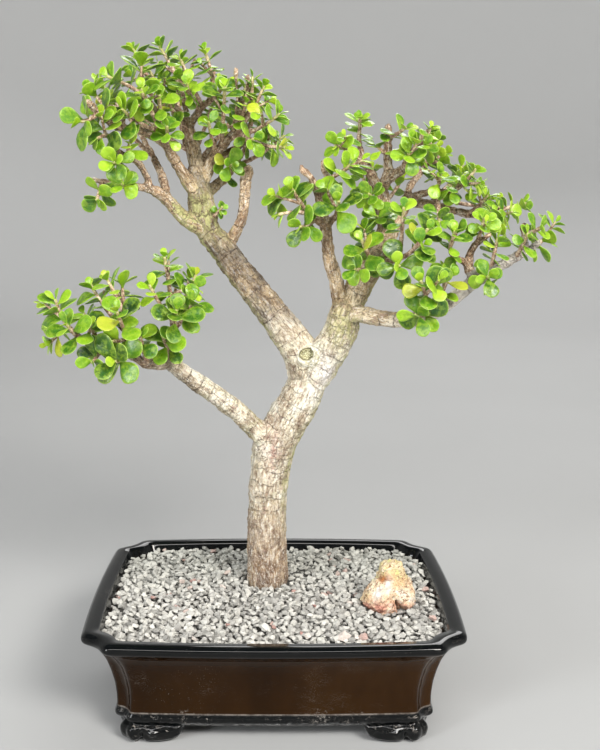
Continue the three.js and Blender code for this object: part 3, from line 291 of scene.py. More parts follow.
# Sprays that only the render has, which fill the crowns
EXTRA_SPRAYS = {
    "low_branch": [
        ("Out", 1.6, -103, -52, 321, 16, 1), ("Up", 2, -63, -40, 342, 18, 1),
        ("Far", 1.4, -152, -12, 329, 16, 1), ("Up", 0.8, -86, -44, 316, 18, 1),
        ("Up", 2.6, -80, 8, 351, 15, 1), ("Far", 1.6, -141, -46, 296, 19, 1),
        ("Far", 2.4, -141, -44, 324, 16, 1), ("Out", 3.6, -124, -48, 313, 16, 1),
        ("Up", 3, -60, -24, 351, 14, 1), ("Out", 4, -131, -28, 360, 14, 1),
        ("Far", 3, -176, -38, 309, 16, 1)],
    "left_crown": [
        ("TopBack", 0.5, -100, 20, 521, 14, 2), ("TopRight", 1.6, -75, 22, 531, 14, 2),
        ("Right", 2.6, -23, 30, 509, 13, 2), ("RightBack", 1.4, -18, 30, 483, 14, 2),
        ("FarRear", 2.2, -133, 8, 497, 14, 2), ("Back", 1.3, -50, 60, 502, 14, 2),
        ("BackRight", 1, -35, 96, 488, 14, 2), ("Back", 1.6, -107, 84, 487, 14, 2),
        ("Front", 2.2, -82, -22, 475, 14, 1), ("Right", 1.2, -51, -6, 479, 14, 1),
        ("Front", 3.2, -87, -24, 498, 14, 2), ("RightRear", 0.9, -34, 34, 446, 15, 1),
        ("Limb", 6.5, -42, 12, 413, 7, 1), ("RightRear", 1.6, 8, 40, 470, 15, 2),
        ("Right", 2.6, 8, 4, 460, 14, 1), ("Right", 2.8, -16, -4, 466, 14, 1),
        ("Right", 2.9, -22, 2, 494, 14, 1), ("FarUp", 2.6, -111, -22, 462, 15, 1),
        ("RightBack", 0.6, -34, 14, 446, 14, 1), ("Right", 3, -17, 10, 514, 13, 2),
        ("TopRight", 1.8, -40, 6, 507, 13, 2), ("Top", 1.7, -84, 8, 496, 14, 1)],
    "right_crown": [
        ("MidFork", 2.4, 117, -12, 461, 13, 2), ("MidStub", 2.2, 82, 4, 461, 13, 1),
        ("BackFront", 1.4, 133, 6, 439, 14, 2), ("BackArm", 1.6, 152, 26, 434, 13, 2),
        ("BackArm", 3.3, 194, 18, 409, 14, 2), ("Arm", 6.4, 196, -30, 394, 14, 1),
        ("ArmUp", 2.2, 161, -34, 406, 14, 2), ("Arm", 5.3, 170, -22, 354, 13, 1),
        ("BackUp", 1.4, 134, 74, 451, 14, 2), ("Rear", 0.7, 110, 60, 437, 14, 1),
        ("BackRear", 0.6, 193, 70, 413, 13, 2), ("Crook", 1.7, 99, -36, 414, 15, 1),
        ("Arm", 5.5, 174, -24, 390, 14, 1), ("Arm", 3.6, 135, -40, 364, 16, 2),
        ("LeftOut", 0.8, 20, -42, 400, 17, 1), ("CrookLeft", 0.7, 62, -40, 368, 15, 1),
        ("Arm", 5.4, 164, -42, 362, 14, 1), ("Mid", 4.6, 74, -16, 424, 14, 1),
        ("Mid", 3.6, 80, -18, 407, 15, 1), ("BackFront", 1.5, 131, -6, 402, 14, 1),
        ("LeftOut", 1, 4, -32, 409, 15, 1), ("ArmStub", 1.4, 208, -24, 399, 13, 1),
        ("BackFront", 2, 140, 6, 431, 13, 1)]}

# Dry flower stalks and bare twig ends that only the render has: x, y, z and radius
DRY_STALKS = [
    [(-32, 16, 473, 2.2), (-29, 13, 498, 1.5), (-30, 10, 512, 1.6), (-30, 8, 520, 2.3)],
    [(-27, 14, 480, 2), (-22, 11, 500, 1.4), (-21, 8, 515, 1.9)],
    [(26, -23, 438, 2), (22, -24, 441, 1.6), (21, -24, 445, 2.2)],
    [(40, -7, 440, 1.9), (38, -8, 444, 1.7), (39, -8, 449, 2.4)]]


# Numbers and directions

def seeded_random(seed):
    """The same repeatable run of numbers from 0 to 1 as the solids' growth uses."""
    mask = 0xFFFFFFFF
    state = seed & mask

    def draw():
        nonlocal state
        state = (state + 0x6D2B79F5) & mask
        mixed = ((state ^ (state >> 15)) * (state | 1)) & mask
        mixed ^= (mixed + (((mixed ^ (mixed >> 7)) * (mixed | 61)) & mask)) & mask
        return ((mixed ^ (mixed >> 14)) & mask) / 4294967296

    return draw


def array(*values):
    return np.array(values, float)


def unit(vector):
    return vector / np.linalg.norm(vector)


def lerp(a, b, share):
    return a + (b - a) * share


def smoothstep(value, low, high):
    share = np.clip((value - low) / (high - low), 0, 1)
    return share * share * (3 - 2 * share)


def hump(value, middle, width):
    return np.exp(-((value - middle) / width) ** 2)


def patch(points, middle, half):
    """1 at the middle of a rounded patch, and fading out of it."""
    return np.exp(-(((points - middle) / half) ** 2).sum(1))


def framed(axis):
    """Two directions square to an axis."""
    helper = array(0, 0, 1) if abs(axis[2]) < 0.9 else array(1, 0, 0)
    across = unit(np.cross(helper, axis))
    return across, np.cross(axis, across)


def around(pair, angle):
    """The direction at an angle from the first of two directions towards the second."""
    return pair[0] * math.cos(angle) + pair[1] * math.sin(angle)


def turns(count):
    """Angles all the way round, evenly spaced."""
    return np.arange(count) * 2 * math.pi / count


def running_length(points):
    """How far along a line each of its points is."""
    return np.concatenate([[0], np.cumsum(np.linalg.norm(np.diff(points, axis=0), axis=1))])


def evenly_spaced(rows, count):
    """Rows evenly spaced along a line of rows, and how far along it they are."""
    run = running_length(rows)
    places = np.linspace(0, run[-1], count)
    return np.column_stack([np.interp(places, run, column) for column in rows.T]), places


def relaxed(line, rounds):
    """A line with its turns rounded and its ends kept."""
    for _ in range(rounds):
        line[1:-1] = 0.25 * line[:-2] + 0.5 * line[1:-1] + 0.25 * line[2:]
    return line


def noise_at(points, scale, seed=0, octaves=3):
    """Fractal noise at each point, about -1 to 1; scale is the size of its features."""
    shift = Vector((seed * 13.7, seed * 7.1, seed * 3.3))
    return np.array([noise.fractal(Vector(p) / scale + shift, 0.6, 2.1, octaves) for p in points.tolist()])


# Making meshes

def add_object(name, data):
    made = bpy.data.objects.new(name, data)
    bpy.context.scene.collection.objects.link(made)
    return made


def add_mesh(name, points, faces, materials, smooth=True):
    """A mesh object from points in metres."""
    mesh = bpy.data.meshes.new(name)
    mesh.from_pydata(np.asarray(points).tolist(), [], [list(face) for face in faces])
    for material in materials:
        mesh.materials.append(material)
    mesh.polygons.foreach_set("use_smooth", np.full(len(mesh.polygons), smooth))
    return add_object(name, mesh)


def make_piece(name, points, faces, materials, values, smooth=True):
    """A mesh object from points in the pot's frame, with plain numbers stored on its points."""
    piece = add_mesh(name, np.asarray(points) * MM + POT_CENTRE, faces, materials, smooth)
    for key, numbers in values.items():
        layer = piece.data.attributes.new(key, "FLOAT", "POINT")
        layer.data.foreach_set("value", np.asarray(numbers, np.float32))
    return piece


def settle(piece, node=None):
    """Says that a piece rides on the one body, and which solid it replaces."""
    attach(piece, "root")
    if node:
        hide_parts(node)


class Batch:
    """Gathers many small meshes into one."""

    def __init__(self):
        self.points, self.faces, self.count = [], [], 0
        self.values, self.face_material = {}, []

    def add(self, points, faces, material=0, **values):
        self.points.append(points)
        self.faces.extend((np.asarray(face) + self.count).tolist() for face in faces)
        self.face_material.extend([material] * len(faces))
        self.count += len(points)
        for key, value in values.items():
            self.values.setdefault(key, []).append(np.broadcast_to(value, len(points)))

    def piece(self, name, materials, smooth=True):
        values = {key: np.concatenate(parts) for key, parts in self.values.items()}
        piece = make_piece(name, np.concatenate(self.points), self.faces, materials, values, smooth)
        piece.data.polygons.foreach_set("material_index", np.asarray(self.face_material, np.int32))
        return piece


def taken(builder):
    """The points and faces of a bmesh, which is then freed."""
    builder.verts.index_update()
    points = np.array([v.co for v in builder.verts])
    faces = [[v.index for v in face.verts] for face in builder.faces]
    builder.free()
    return points, faces


def skin_faces(rings, sides):
    """Quads of a skin over rings of points that follow one another."""
    faces = []
    for start in range(0, (rings - 1) * sides, sides):
        for k in range(sides):
            a, b = start + k, start + (k + 1) % sides
            faces.append((a, b, b + sides, a + sides))
    return faces


def tube(centres, radii, sides):
    """Points and faces of a closed tube along a line of centres, with rounded ends."""
    tangents = np.gradient(centres, axis=0)
    tangents /= np.linalg.norm(tangents, axis=1)[:, None]
    first, last = tangents[0], tangents[-1]
    out, size = array(0.35, 0.75, 0.95), array(0.92, 0.62, 0.25)
    start = centres[0] - np.outer(out[::-1], first * radii[0])
    end = centres[-1] + np.outer(out, last * radii[-1])
    centres = np.vstack([start, centres, end])
    radii = np.concatenate([radii[0] * size[::-1], radii, radii[-1] * size])
    tangents = np.vstack([[first] * len(out), tangents, [last] * len(out)])
    across, _ = framed(first)
    angles = turns(sides)
    rings = []
    for centre, radius, tangent in zip(centres, radii, tangents):
        across = unit(across - tangent * across.dot(tangent))
        up = np.cross(tangent, across)
        rings.append(centre + radius * (np.outer(np.cos(angles), across) + np.outer(np.sin(angles), up)))
    count = len(rings) * sides
    ends = [tuple(range(sides))[::-1], tuple(range(count - sides, count))]
    return np.concatenate(rings), skin_faces(len(rings), sides) + ends


def spline(route, steps):
    """A smooth line through a route's rows."""
    rows = np.array(route, float)
    padded = np.vstack([2 * rows[0] - rows[1], rows, 2 * rows[-1] - rows[-2]])
    share = np.arange(steps)[:, None] / steps
    parts = [0.5 * (2 * b + (c - a) * share + (2 * a - 5 * b + 4 * c - d) * share ** 2
                    + (3 * b - a - 3 * c + d) * share ** 3)
             for a, b, c, d in zip(padded, padded[1:], padded[2:], padded[3:])]
    return np.vstack(parts + [rows[-1]])


# Materials

def math_node(operation):
    """A method that puts a field, and a second value where it takes one, through one Math node."""
    return lambda field, other=0.0: field.shader.add("Math", 0, {0: field, 1: other}, operation=operation)


class Field:
    """A number or colour that varies over a surface."""

    def __init__(self, shader, socket):
        self.shader, self.socket = shader, socket

    def __rsub__(self, other):
        return self.shader.add("Math", 0, {0: other, 1: self}, operation="SUBTRACT")

    __mul__ = math_node("MULTIPLY")
    __add__ = math_node("ADD")
    __sub__ = math_node("SUBTRACT")
    __abs__ = math_node("ABSOLUTE")
    most = math_node("MAXIMUM")
    there_and_back = math_node("PINGPONG")

    def between(self, low, high, to_low=0.0, to_high=1.0):
        """Goes smoothly from to_low, where the value is low, to to_high, where it is high."""
        inputs = {"Value": self, "From Min": low, "From Max": high, "To Min": to_low, "To Max": to_high}
        return self.shader.add("MapRange", "Result", inputs, interpolation_type="SMOOTHSTEP")

    def ramp(self, *stops):
        made = self.shader.add("ValToRGB", "Color", {"Fac": self})
        points = made.socket.node.color_ramp.elements
        while len(points) < len(stops):
            points.new(0.5)
        for point, (position, colour) in zip(points, stops):
            point.position = position
            point.color = (*colour, 1)
        return made


class Shader:
    """A material whose body colour and relief are laid on one call at a time."""

    def __init__(self, name):
        self.material = bpy.data.materials.new(name)
        self.material.use_nodes = True
        self.tree = self.material.node_tree
        self.place = self.add("TexCoord", "Object", {})
        self.body = self.relief = None

    def add(self, kind, output, inputs, **settings):
        """A new node with its inputs set or joined, as the field that it gives out."""
        made = self.tree.nodes.new(f"ShaderNode{kind}")
        for key, value in settings.items():
            setattr(made, key, value)
        for key, value in inputs.items():
            self.put(made.inputs[key], value)
        return Field(self, made.outputs[output])

    def put(self, socket, value):
        if isinstance(value, Field):
            self.tree.links.new(value.socket, socket)
        elif isinstance(value, tuple) and len(socket.default_value) == 4:
            socket.default_value = (*value, 1)
        else:
            socket.default_value = value

    def value(self, name):
        return self.add("Attribute", "Fac", {}, attribute_name=name)

    def axis(self, name):
        return self.add("SeparateXYZ", name, {0: self.place})

    def stretched(self, x, y, z):
        return self.add("Mapping", "Vector", {"Vector": self.place, "Scale": (x, y, z)})

    def limb(self, along):
        """The place measured on the nearest limb: across it twice, and along it."""
        inputs = {name: self.value(key) * (share * MM) for name, key, share in
                  (("X", "side", 1), ("Y", "depth", 1), ("Z", "along", along))}
        return self.add("CombineXYZ", 0, inputs)

    def noise(self, scale, detail=4, roughness=0.6, place=None, distortion=0):
        inputs = {"Vector": place or self.place, "Scale": scale, "Detail": detail,
                  "Roughness": roughness, "Distortion": distortion}
        return self.add("TexNoise", "Fac", inputs)

    def cells(self, scale, feature="F1", place=None):
        inputs = {"Vector": place or self.place, "Scale": scale}
        return self.add("TexVoronoi", "Distance", inputs, feature=feature)

    def mix(self, share, a, b, blend="MIX"):
        inputs = {"Fac": share, "Color1": a, "Color2": b}
        return self.add("MixRGB", "Color", inputs, blend_type=blend)

    def over(self, share, colour, part=None):
        """Lays a colour over the body, or the body with that part of the colour in it."""
        if part:
            colour = self.mix(part, self.body, colour)
        self.body = self.mix(share, self.body, colour)

    def tint(self, share, colour):
        """Darkens the body by a colour."""
        self.over(share, self.mix(1, self.body, colour, "MULTIPLY"))

    def rough(self, height, strength, distance):
        """Lays relief over the relief so far."""
        inputs = {"Height": height, "Strength": strength, "Distance": distance}
        if self.relief:
            inputs["Normal"] = self.relief
        self.relief = self.add("Bump", "Normal", inputs)

    def finish(self, **values):
        values["Base_Color"] = self.body
        if self.relief:
            values["Normal"] = self.relief
        for key, value in values.items():
            self.put(self.tree.nodes["Principled BSDF"].inputs[key.replace("_", " ")], value)
        return self.material


def glaze_material():
    glaze = Shader("black_glaze")
    noise, height = glaze.noise, glaze.axis("Z")
    # The body's brown is partly the glaze's own brownish black and partly a painted reflection of a brown
    # floor.
    glaze.body = noise(11, 4, 0.6, glaze.stretched(1, 1, 0.35)).ramp(
        (0.3, (0.0105, 0.0045, 0.0014)), (0.5, (0.02, 0.0085, 0.0024)), (0.72, (0.036, 0.016, 0.0044)))
    foot = height.between(0.0278, 0.0262)
    glossy_black = height.between(0.082, 0.0865).most(foot)
    glaze.over(glossy_black, (0.0016, 0.0022, 0.0026))
    wear_and_highlight = glaze_wear_and_highlight(glaze, height)
    # Wear, dust and lime, and a painted highlight line along the band's upper edge.
    glaze.over(wear_and_highlight, (0.62, 0.56, 0.5))
    glaze.rough(noise(17, 3, 0.5), 0.16, 0.0016)
    glaze.rough(foot * noise(85, 1, 0.4, distortion=1.2), 0.8, 0.006)
    glaze.rough(noise(300, 3, 0.5), 0.035, 0.0004)
    gloss = noise(60, 6, 0.7).between(0.35, 0.75, 0.04, 0.1)
    return glaze.finish(
        Roughness=gloss + wear_and_highlight * 0.8, IOR=1.45, Specular_IOR_Level=0.12, Specular_Tint=(1, 0.9, 0.8),
        Coat_Weight=glossy_black * 0.55, Coat_Roughness=0.03, Coat_IOR=1.39)


def glaze_wear_and_highlight(glaze, height):
    """Worn lines, dust, lime near the foot and a painted highlight line along the band's upper edge."""
    noise = glaze.noise
    scratch = noise(95, 3, 0.5, glaze.stretched(1, 1, 7), 2.2)
    worn = abs(scratch - 0.5).between(0, 0.006, 1, 0) * noise(24, 4, 0.6).between(0.52, 0.68)
    dust = glaze.cells(620).between(0.05, 0.13, 0.9, 0) * noise(33, 4, 0.7).between(0.52, 0.66)
    lime = height.between(0.036, 0.024) * noise(38, 6, 0.8).between(0.56, 0.68, 0, 0.8)
    lime *= noise(420, 4, 0.8).between(0.48, 0.6)
    # Painted highlight: a thin pale line along the band's upper edge.
    band_edge = abs(height - 0.0272).between(0.0002, 0.0009, 0.26, 0)
    highlight_line = band_edge * noise(240, 4, 0.7).between(0.36, 0.6, 0.3, 1)
    return (worn * 0.3).most(dust * 0.45).most(lime * 0.5).most(highlight_line)


def gravel_material():
    gravel = Shader("grey_gravel")
    noise, grain = gravel.noise, gravel.noise(900, 5, 0.75)
    # Each stone's own tone; the bottom layer's low tones are painted shade.
    gravel.body = gravel.value("tone").ramp(
        (0.0, (0.25, 0.24, 0.22)), (0.2, (0.37, 0.355, 0.33)), (0.5, (0.5, 0.485, 0.445)),
        (0.8, (0.6, 0.58, 0.53)), (0.98, (0.68, 0.655, 0.6)), (0.988, (0.6, 0.46, 0.4)),
        (1.0, (0.4, 0.2, 0.17)))
    gravel.over(grain.between(0.44, 0.66, 0, 0.6), (0.22, 0.21, 0.19), 0.5)
    gravel.over(noise(330, 3).between(0.5, 0.7, 0, 0.45), (0.74, 0.72, 0.66))
    # Painted shade: the gravel darkens towards the back.
    gravel.over(gravel.axis("Y").between(-0.03, 0.08, 0, 0.8), (0.27, 0.28, 0.24), 0.5)
    gravel.rough(noise(260, 3), 0.5, 0.0008)
    gravel.rough(grain, 0.6, 0.0006)
    return gravel.finish(Roughness=0.9)


def rock_material():
    rock = Shader("ochre_rock")
    noise, value, gold = rock.noise, rock.value, rock.value("gold")
    patches = noise(95, 6, 0.68, distortion=0.8)
    rock.body = patches.ramp(
        (0.32, (0.6, 0.36, 0.2)), (0.42, (0.85, 0.6, 0.38)), (0.51, (0.93, 0.78, 0.55)),
        (0.62, (0.98, 0.9, 0.78)))
    rock.over(gold * patches.between(0.72, 0.46, 0.1, 0.65),
              rock.mix(noise(260, 4, 0.7), (0.62, 0.42, 0.17), (0.93, 0.83, 0.48)))
    rock.over(gold * noise(110, 4, 0.7).between(0.5, 0.62, 0, 0.7), (0.72, 0.78, 0.3))
    rock.over(value("red") * noise(150, 6, 0.75, distortion=0.5).between(0.36, 0.54),
              rock.mix(noise(310, 4, 0.7), (0.64, 0.22, 0.16), (0.97, 0.52, 0.4)))
    rock.over(value("rust") * patches.between(0.7, 0.4),
              rock.mix(noise(420, 4, 0.7), (0.3, 0.07, 0.025), (0.95, 0.42, 0.12)))
    veins = rock.cells(210, "DISTANCE_TO_EDGE").between(0.0, 0.06, 0.7, 0.0)
    rock.over(veins * 0.5, (0.4, 0.2, 0.09))
    rock.over(noise(300, 4, 0.75, distortion=0.6).between(0.565, 0.6, 0, 0.95), (0.26, 0.13, 0.06))
    rock.over(noise(520, 3, 0.8).between(0.55, 0.61, 0, 0.8), (0.36, 0.15, 0.08))
    # Painted highlight: two near-white patches on the rock's front.
    rock.over(value("white") * 0.8, (1, 0.98, 0.95))
    # Painted shade: dark in the notch, the crease and the grooves between facets.
    rock.over(value("hollow"), (0.07, 0.035, 0.02))
    rock.rough(noise(190, 7, 0.75), 1.0, 0.0024)
    rock.rough(noise(700, 4, 0.72), 0.9, 0.0009)
    return rock.finish(Roughness=0.8)


def bark_material():
    bark = Shader("jade_bark")
    noise, value, limb = bark.noise, bark.value, bark.limb
    bark.body = noise(34, 6, 0.72, distortion=0.5).ramp(
        (0.36, (0.3, 0.23, 0.155)), (0.45, (0.6, 0.5, 0.36)), (0.51, (0.86, 0.76, 0.57)),
        (0.59, (1, 0.95, 0.81)))
    bark.over(noise(75, 4, 0.7).between(0.5, 0.66, 0, 0.4), (0.6, 0.6, 0.38))
    bark.over(value("base"), noise(130, 6, 0.75, bark.stretched(1, 1, 0.6)).ramp(
        (0.36, (0.11, 0.062, 0.034)), (0.46, (0.27, 0.175, 0.1)), (0.56, (0.47, 0.335, 0.2)),
        (0.68, (0.76, 0.6, 0.4))))
    # Painted shade: the wood above the fork, under the crowns, is darkened.
    bark.tint(value("upper"), (0.84, 0.7, 0.53))
    bark.over(value("size").between(6.8, 3.2) * 0.85, noise(360, 5, 0.78).ramp(
        (0.37, (0.1, 0.045, 0.025)), (0.46, (0.34, 0.19, 0.105)), (0.55, (0.64, 0.43, 0.27)),
        (0.66, (0.96, 0.82, 0.62))))
    streaks, grain = noise(480, 5, 0.78, limb(0.24), 0.4), noise(700, 4, 0.8, limb(0.6))
    bark_weather(bark, streaks, grain)
    crack = bark_cracks(bark)
    scar_marks(bark)
    bark.rough(streaks, 1.0, 0.0024)
    bark.rough(grain, -0.8, 0.0011)
    bark.rough(crack * -1.0, 1.0, 0.0014)
    return bark.finish(Roughness=0.85)


def bark_weather(bark, streaks, grain):
    """Flecks, stains, silver bark, painted shade on the left limb, scratches and lichen."""
    noise, value, limb = bark.noise, bark.value, bark.limb
    quiet = value("silver").between(0.0, 1.0, 1.0, 0.35)
    bark.over(streaks.between(0.48, 0.41, 0, 0.7) * quiet, (0.19, 0.11, 0.07))
    bark.over(streaks.between(0.53, 0.62, 0, 0.7), (0.98, 0.91, 0.79))
    bark.over(grain.between(0.55, 0.64, 0, 0.7) * quiet, (0.14, 0.085, 0.055))
    bark.over(grain.between(0.44, 0.36, 0, 0.65), (0.98, 0.93, 0.83))
    bark.over(value("silver") * 0.6, (0.62, 0.6, 0.57))
    bark.tint(noise(70, 5, 0.75, limb(0.3)).between(0.52, 0.62, 0, 0.55), (0.42, 0.33, 0.26))
    bark.over(noise(190, 4, 0.7).between(0.6, 0.68, 0, 0.4), (0.5, 0.3, 0.28))
    # Painted shade: a bluish darkening over the thick left limb above the fork.
    bark.tint(value("dusky") * noise(52, 5, 0.72).between(0.38, 0.6, 0.45, 1), (0.36, 0.36, 0.4))
    bark.over(value("pale") * grain.between(0.58, 0.44, 0.3, 0.9), (0.9, 0.87, 0.85))
    blotch = value("blush") * noise(120, 5, 0.75).between(0.4, 0.62)
    bark.over(blotch * 0.75, bark.mix(streaks, (0.2, 0.05, 0.03), (0.8, 0.5, 0.4)))
    scratches = abs(noise(150, 3, 0.6, distortion=1.5) - 0.5).between(0.0, 0.016, 1, 0)
    bark.over(scratches * (value("base") * 0.7), (0.86, 0.78, 0.68))
    mossy = value("lichen") * noise(260, 5, 0.8, limb(0.4)).between(0.42, 0.54)
    green = bark.mix(noise(620, 4, 0.8, limb(0.3)), (0.13, 0.12, 0.025), (0.86, 0.85, 0.38))
    bark.over(mossy * 0.9, green)


def bark_cracks(bark):
    """Dark rings round the limbs and the edges of plates, above the stump."""
    edges = bark.cells(210, "DISTANCE_TO_EDGE", bark.limb(1.3)).between(0.0, 0.07, 0.5, 0.0)
    edges *= bark.noise(60, 3).between(0.42, 0.58)
    rings = (bark.value("along") + bark.noise(70, 4) * 11.0).there_and_back(6.2)
    crack = rings.between(0.0, 0.42, 1.0, 0.0) * bark.noise(85, 2).between(0.4, 0.5)
    crack = crack.most(edges) * (1.0 - bark.value("base"))
    bark.over(crack * 0.62, (0.13, 0.08, 0.045))
    return crack


def scar_marks(bark):
    """The pale lip of the cut scar, with its growth rings, and its dark curled heart."""
    noise, rim, heart = bark.noise, bark.value("scar_rim"), bark.value("scar_heart")
    lip = bark.mix(noise(330, 5, 0.75).between(0.36, 0.62), (0.5, 0.44, 0.26), (0.99, 0.95, 0.84))
    growth = (rim + noise(260, 3) * 0.25).there_and_back(0.11).between(0.0, 0.05, 0.55, 0)
    bark.over(rim.between(1.16, 0.98, 0, 0.95), bark.mix(growth, lip, (0.3, 0.27, 0.1)))
    bark.over(heart.between(1.12, 0.95), noise(560, 4, 0.7, distortion=2.4).ramp(
        (0.38, (0.06, 0.045, 0.015)), (0.47, (0.34, 0.3, 0.12)), (0.6, (0.93, 0.9, 0.62))))
    bark.over(abs(heart - 1.0).between(0.0, 0.16, 0.8, 0), (0.09, 0.07, 0.02))


def twig_material():
    twig = Shader("young_twig")
    twig.body = twig.noise(420, 5, 0.75).ramp(
        (0.36, (0.1, 0.045, 0.028)), (0.5, (0.4, 0.25, 0.16)), (0.64, (0.86, 0.72, 0.54)))
    twig.over(twig.value("rim").between(0.7, 1.0, 0, 0.75), (0.4, 0.46, 0.12))
    twig.rough(twig.noise(900, 4, 0.7), 0.6, 0.0006)
    return twig.finish(Roughness=0.6)


def leaf_material():
    leaf = Shader("jade_leaf")
    noise, rim = leaf.noise, leaf.value("rim")
    leaf.body = leaf.value("tone").ramp(
        (0.0, (0.01, 0.042, 0.002)), (0.25, (0.034, 0.11, 0.003)), (0.5, (0.092, 0.23, 0.006)),
        (0.78, (0.23, 0.41, 0.012)), (1.0, (0.43, 0.6, 0.035)))
    leaf.over(noise(210, 5, 0.7).between(0.44, 0.6, 0, 0.7), (0.42, 0.58, 0.05), 0.5)
    leaf.over(noise(120, 4, 0.6).between(0.48, 0.62, 0, 0.5), (0.02, 0.13, 0.02), 0.55)
    leaf.over(rim.between(0.6, 0.98, 0, 0.4), (0.36, 0.56, 0.04), 0.5)
    leaf.over(rim.between(0.92, 0.98, 0, 0.6), (0.5, 0.68, 0.14))
    leaf.over(leaf.value("gold"), leaf.mix(noise(200, 3), (0.34, 0.4, 0.03), (0.58, 0.56, 0.05)))
    leaf.over(leaf.cells(1500).between(0.12, 0.2, 0.25, 0), (0.5, 0.66, 0.14))
    leaf.rough(noise(130, 3), 0.45, 0.0014)
    leaf.rough(leaf.cells(900), 0.2, 0.0003)
    return leaf.finish(
        Roughness=noise(240, 4).between(0.3, 0.7, 0.26, 0.44), IOR=1.46, Specular_IOR_Level=0.55,
        Subsurface_Weight=0.1, Subsurface_Scale=0.003, Subsurface_Radius=(0.5, 1.0, 0.15))


def grainy_material(name, grain, colours, relief, roughness):
    """A plain material of one grain: its noise, two colours, relief and roughness."""
    grainy = Shader(name)
    field = grainy.noise(*grain)
    grainy.body = grainy.mix(field, *colours)
    grainy.rough(field, *relief)
    return grainy.finish(Roughness=field.between(*roughness) if isinstance(roughness, tuple) else roughness)


def bed_material():
    colours = (0.02, 0.018, 0.016), (0.1, 0.095, 0.085)
    return grainy_material("gravel_shadow", (300, 5, 0.7), colours, (0.7, 0.001), 0.95)


def soil_material():
    colours = (0.03, 0.018, 0.011), (0.17, 0.11, 0.07)
    return grainy_material("potting_soil", (220, 7, 0.75), colours, (0.9, 0.002), 0.95)


def net_material():
    colours = (0.01, 0.022, 0.016), (0.03, 0.05, 0.04)
    return grainy_material("net_plastic", (300, 4, 0.6), colours, (0.3, 0.0003), (0.3, 0.7, 0.4, 0.6))


def floor_material():
    floor = Shader("pale_floor")
    floor.body = floor.mix(floor.noise(3, 2, 0.4), (0.4, 0.4, 0.395), (0.43, 0.43, 0.425))
    distance = floor.add("VectorMath", "Value", {0: floor.place}, operation="LENGTH")
    floor.over(distance.between(1.2, 3.6), (0.56, 0.56, 0.555))
    return floor.finish(Roughness=0.85)


# Growth of the sprays

class Rods:
    """Straight tapered rods, tested all at once against points."""

    def __init__(self):
        self.rows, self.owners, self.table = [], [], None

    def add(self, start, end, radii, owner):
        self.rows.append([*start, *end, *radii])
        self.owners.append(owner)
        self.table = None

    def add_route(self, route):
        for a, b in zip(route, route[1:]):
            self.add(a[:3], b[:3], (a[3], b[3]), "wood")

    def clearance(self, points, skip=""):
        """The least distance from any of the points to a rod that skip doesn't own."""
        if self.table is None:
            self.table, self.names = np.array(self.rows), np.array(self.owners)
        rows = self.table[self.names != skip]
        start, line = rows[:, :3], rows[:, 3:6] - rows[:, :3]
        gap = np.asarray(points)[:, None, :] - start
        share = np.clip((gap * line).sum(2) / (line ** 2).sum(1), 0, 1)
        radius = lerp(rows[:, 6], rows[:, 7], share)
        return (np.linalg.norm(gap - share[..., None] * line, axis=2) - radius).min()


